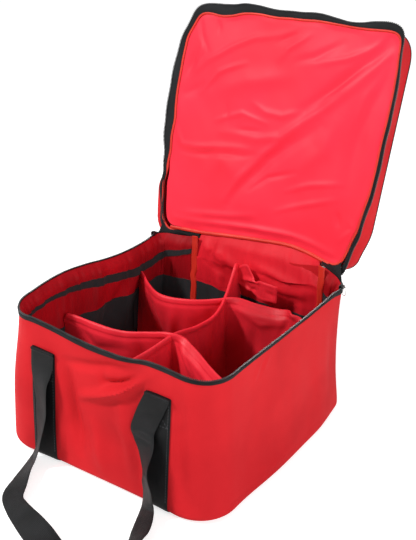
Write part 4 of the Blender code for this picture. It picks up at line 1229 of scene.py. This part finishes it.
dividers = {
    "floor": 0.0153, "height": 0.176, "thickness": 0.0045, "leanHeight": 0.020, "hem": 0.0012,
    "rearFoot": [(-186, 128), (186, 128)],
    "rearTop": [
        (-184, 134), (-152, 108), (-114, 88), (-83, 88), (-48, 98), (-17, 114), (8, 130),
        (48, 140), (83, 148), (105, 152), (128, 156), (160, 142), (184, 132)],
    "frontFoot": [(-186, -78), (-90, -50), (10, -40), (90, -52), (186, -90)],
    "frontTop": [
        (-186, -74), (-164, -77), (-131, -74), (-92, -69), (-58, -61), (-28, -48), (8, -34),
        (55, -54), (101, -79), (142, -99), (186, -112)],
    "longFoot": [(-196, 10), (196, 10)],
    "longTop": [
        (-193, -2), (-133, -2), (-87, 2), (-34, 5), (16, 8), (74, 9), (128, 4), (160, -4),
        (196, -12)],
    "rearSag": [
        (-186, 15), (-181, 7), (-172, 6), (-150, 10), (-110, 14), (-60, 12), (-10, 6), (8, 2),
        (50, 8), (90, 10), (120, 6), (150, 12), (186, 8)],
    "frontSag": [
        (-186, 15), (-181, 7), (-172, 5), (-130, 8), (-80, 10), (-30, 4), (8, 0), (50, 5),
        (100, 10), (142, 8), (186, 6)],
    "longSag": [
        (-193, 4), (-120, 10), (-60, 6), (-36, 3), (40, 12), (90, 12), (128, 2), (146, -8),
        (165, -24), (181, -39), (190, -35), (196, -28)],
    # how far the top has folded over, mm, with its height: the cloth there faces the light
    "rearLean": [
        (-186, 2), (-120, 4), (-20, 2), (8, 0), (24, 10), (60, 15), (95, 15), (112, 10), (124, -4),
        (140, 3), (186, 0)],
    "frontLean": [
        (-186, 3), (-120, 6), (-60, 4), (-10, 1), (8, 0), (26, 10), (60, 15), (100, 14), (142, 8),
        (186, 0)],
    "longLean": [(-193, 0), (-120, -4), (-50, 0), (30, 4), (90, 4), (128, 0), (196, 0)],
    # creases: width, height, then places along and up, mm
    "rearFolds": [
        (7, 4, (-150, 188), (-120, 120), (-110, 40)), (9, -5, (-70, 182), (-90, 100), (-80, 30)),
        (7, 4, (-20, 182), (-10, 110)), (5, 4, (24, 186), (60, 176), (108, 168)),
        (5, -4, (30, 170), (70, 150), (120, 160)), (5, 5, (122, 190), (116, 160), (100, 120)),
        (5, -5, (136, 184), (140, 150), (128, 100)), (9, 4, (60, 140), (64, 60))],
    "frontFolds": [
        (8, 4, (-160, 180), (-120, 140), (-60, 150)), (9, -5, (-120, 120), (-60, 60)),
        (7, 4, (-60, 185), (-30, 130), (-26, 60)), (4, 5, (12, 190), (20, 172), (48, 150)),
        (4, -5, (22, 190), (36, 168), (70, 140)), (5, 4, (60, 178), (90, 168), (140, 172)),
        (6, -4, (60, 160), (100, 140))],
    "longFolds": [
        (8, 4, (-150, 180), (-110, 110)), (8, -4, (-80, 180), (-70, 90)),
        (9, 4, (20, 178), (40, 80)), (8, -4, (80, 176), (90, 90)), (6, 3, (110, 180), (118, 120)),
        (6, -4, (150, 190), (140, 120))],
}


def makeDivider(name, reach, key, alongX, standsFor, phase):
    # Side position = foot line eased into the top line by height, plus soft cloth waves;
    # thickness swells between the foot and the rounded top edge.
    look = dividers
    run = columnSpan(-reach, reach, 0.0035)[:, None]
    foot, top, sag, lean = (curveThrough(look[key + part], run)
                            for part in ("Foot", "Top", "Sag", "Lean"))
    levels = np.concatenate([np.linspace(0, 0.93, 44), np.linspace(0.938, 0.975, 5),
                             0.98 + 0.02 * np.sin(np.linspace(0, 1.5, 6))])[None, :]
    thick = look["thickness"] / 2 * (0.85 + 0.35 * np.sin(math.pi * np.clip(levels, 0, 1)) ** 0.6)
    thick = thick + look["hem"] * (ease((levels - 0.935) / 0.02)
                                   - 0.6 * np.exp(-((levels - 0.93) / 0.008) ** 2))
    thick = thick * np.sqrt(np.clip(1 - np.clip((levels - 0.975) / 0.0255, 0, 1) ** 2, 0.0, 1))
    share = ease(levels * 1.05)
    middle = foot * (1 - share) + top * share
    height = look["height"] - sag
    z = look["floor"] + levels * height
    free = np.sin(math.pi * levels) ** 0.7
    ends = ease((np.minimum(run + reach, reach - run) - 0.002) / 0.02)
    soft = waves(run, levels * 0.18, [(120, 400, 1.6, phase), (57, -260, 1.1, 2 * phase),
                                      (33, 500, 0.5, phase)])
    soft = soft + foldLines(run, z, look[key + "Folds"])
    middle = middle + mm * free * (0.3 + 0.7 * ends) * soft
    over = ease((z - (look["floor"] + height - look["leanHeight"])) / look["leanHeight"])
    middle = middle + lean * over * ends
    z = z - np.abs(lean) * 0.25 * over * ends
    grids = []
    for side in (1, -1):
        sideways = middle + side * thick
        pair = (run, sideways) if alongX else (sideways, run)
        grids.append(np.stack(np.broadcast_arrays(*pair, z), -1))
    makeSheet(name, grids, (run, levels * 0.18), "dividerNylon", "divider_set", standsFor,
              "divider_cloth")


makeDivider("rear_divider", 0.1855, "rear", True, ("divider_cross_rear",), 0.4)
makeDivider("front_divider", 0.1855, "front", True, ("divider_cross_front",), 1.3)
makeDivider("long_divider", 0.1955, "long", False, ("divider_long",), 2.1)


def makeDividerFlap():
    # The rear end of the long divider, folded aside to the right: a double cloth with a hem.
    # Rows: x, y, z of its lower edge, z of its upper edge, mm.
    table = np.array([(-8, 186, 190, 222), (4, 186, 186, 230), (14, 184, 184, 232),
                      (24, 181, 185, 222), (38, 176, 182, 211), (46, 171, 181, 216),
                      (52, 169, 181, 217), (72, 168, 183, 217), (84, 169, 184, 216)], float) * mm
    run = np.linspace(table[0, 0], table[-1, 0], 60)[:, None]
    level = np.linspace(0, 1, 24)[None, :]
    y, low, high = (smoothThrough(run, table[:, 0], table[:, i]) for i in (1, 2, 3))
    z = low + (high - low) * level
    bend = foldLines(run, z, [(3.5, -5, (4, 202), (24, 208), (44, 212)),
                              (3.5, 4, (6, 196), (24, 188), (40, 196)),
                              (3, 2, (48, 182), (47, 216)), (5, 2, (60, 200), (84, 196))])
    rim = np.minimum(np.minimum(level, 1 - level) * (high - low), table[-1, 0] - run)
    thick = 0.0011 + 0.0007 * np.exp(-((rim - 0.0035) / 0.0022) ** 2)
    thick = thick * np.sqrt(np.clip(rim / 0.0016, 0.1, 1))
    grids = [np.stack(np.broadcast_arrays(run, y + bend * mm + side * thick, z), -1)
             for side in (-1, 1)]
    makeSheet("long_divider_flap", grids, (run, z), "dividerNylon", "divider_set", (),
              "divider_cloth")


makeDividerFlap()


def makeHookTab(name, box, standsFor):
    # A thin patch filling its solid's box, its edges curling a little.
    low, high = np.array(box[0]), np.array(box[1])
    size = high - low
    thin = int(np.argmin(size))
    wide = 1 - thin
    u = np.linspace(0, 1, 9)[:, None]
    v = np.linspace(0, 1, 14)[None, :]
    corner = np.minimum(np.minimum(u, 1 - u) * size[wide], np.minimum(v, 1 - v) * size[2])
    curl = 0.0006 * np.exp(-corner / 0.004) * 0.4
    grids = np.zeros((2, 9, 14, 3))
    grids[..., wide] = low[wide] + u * size[wide]
    grids[..., 2] = low[2] + v * size[2]
    grids[..., thin] = np.stack([low[thin] + curl, np.full(curl.shape, high[thin])])
    makeSheet(name, grids, (u * size[wide], v * size[2]), "loopPile", "divider_set", standsFor,
              "loop_and_hook")


for tab in ("front_left", "front_right", "rear_left", "rear_right", "long_front", "long_rear"):
    makeHookTab("tab_" + tab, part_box("hook_tab_" + tab), ("hook_tab_" + tab,))
print("bag scene: dividers stood")


# The board keeps its solid; sliders and pulls keep their solids' shapes, set where the soft
# rim has wandered to

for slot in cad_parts["base_board"].material_slots:
    slot.material = finishes["pressedBoard"]


def makeSlider(side, node, name, finish, slot):
    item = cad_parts[node]
    corners = np.array([corner[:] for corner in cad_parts["slider_" + side].bound_box])
    shift = wallShift(np.array(along(side, corners.mean(0)[1])), np.array(bag["rim"]))
    mesh = item.data.copy()
    mesh.transform(Matrix.Translation(tuple(map(float, shift))) @ item.matrix_world)
    mesh.materials.clear()
    finishMesh(name, mesh, finish, node, (node,), slot, 35)


for side in ("left", "right"):
    makeSlider(side, "slider_" + side, side + "_zip_slider", "paintedZinc", "slider_metal")
    makeSlider(side, "pull_" + side, side + "_zip_pull", "platedWire", "pull_wire")


# Floor, light and camera

stage = {
    "floor": "#dededd", "floorRoughness": 0.9, "floorGlow": 0.68, "size": 6.0, "world": 0.31,
    "white": "#ffffff",
    # lamps: place, aim, size and power
    "lamps": {"key": ((-1.5, -1.75, 2.6), (0.0, 0.0, 0.3), 0.45, 92.0),
              "fill": ((2.7, -1.0, 1.2), (0.0, 0.0, 0.2), 1.8, 50.0),
              "overhead": ((0.2, 0.2, 3.2), (0.0, 0.0, 0.2), 2.4, 12.0)},
    # camera: place, and the directions of the picture's right, its top and the view
    "camera": (0.87904, -1.26699, 1.03162), "right": (0.82991, 0.55729, 0.02598),
    "up": (-0.26102, 0.34669, 0.90093), "ahead": (-0.49307, 0.75447, -0.43319),
    "lens": 70.909, "sensor": 36.0,
}


def mixedForCamera(tree, unseen, seen, output):
    # The seen shader for rays from the camera, mirrors and glass, the unseen one for the rest.
    path = addNode(tree, "LightPath")
    ray = path.outputs["Is Camera Ray"]
    for kind in ("Is Glossy Ray", "Is Transmission Ray"):
        ray = addNode(tree, "Math", {}, {0: ray, 1: path.outputs[kind]},
                      operation="MAXIMUM").outputs[0]
    mixed = addNode(tree, "MixShader", {}, {0: ray, 1: unseen.outputs[0], 2: seen.outputs[0]})
    tree.links.new(mixed.outputs[0], output.inputs["Surface"])


def makeFloor():
    material, tree, shader = startFinish("paleBackdropPaper")  # matt paper, no pattern of its own
    shader.inputs["Base Color"].default_value = linearColour(stage["floor"])
    shader.inputs["Roughness"].default_value = stage["floorRoughness"]
    glow = addNode(tree, "Emission", {"Color": linearColour(stage["white"]),
                                      "Strength": stage["floorGlow"]})
    both = addNode(tree, "AddShader", {}, {0: shader.outputs[0], 1: glow.outputs[0]})
    mixedForCamera(tree, shader, both, tree.nodes["Material Output"])
    half = stage["size"]
    mesh = bpy.data.meshes.new("floor")
    mesh.from_pydata([(-half, -half, 0), (half, -half, 0), (half, half, 0), (-half, half, 0)], [],
                     [(0, 1, 2, 3)])
    mesh.materials.append(material)
    addObject("floor", mesh)


def makeLamp(name, place, aim, size, power):
    data = bpy.data.lights.new(name, "AREA")
    data.shape = "DISK"
    data.size = size
    data.energy = power
    lamp = addObject(name, data)
    lamp.location = place
    lamp.rotation_euler = (Vector(place) - Vector(aim)).to_track_quat("Z", "Y").to_euler()


def makeWorld():
    world = bpy.data.worlds.new("studio")
    world.use_nodes = True
    bpy.context.scene.world = world
    tree = world.node_tree
    tree.nodes.clear()
    soft, bright = (addNode(tree, "Background", {"Color": linearColour(stage["white"]),
                                                 "Strength": strength})
                    for strength in (stage["world"], 1.0))
    mixedForCamera(tree, soft, bright, addNode(tree, "OutputWorld"))


def makeCamera():
    data = bpy.data.cameras.new("photo_camera")
    data.lens, data.sensor_width = stage["lens"], stage["sensor"]
    camera = addObject("photo_camera", data)
    turn = Matrix([(r, u, -a) for r, u, a in zip(stage["right"], stage["up"], stage["ahead"])])
    camera.matrix_world = Matrix.Translation(stage["camera"]) @ turn.to_4x4()
    bpy.context.scene.camera = camera


makeFloor()
makeWorld()
for name, look in stage["lamps"].items():
    makeLamp(name, *look)
makeCamera()
bpy.context.scene.view_settings.view_transform = "Standard"
print("bag scene: stage set")

bpy.context.view_layer.update()
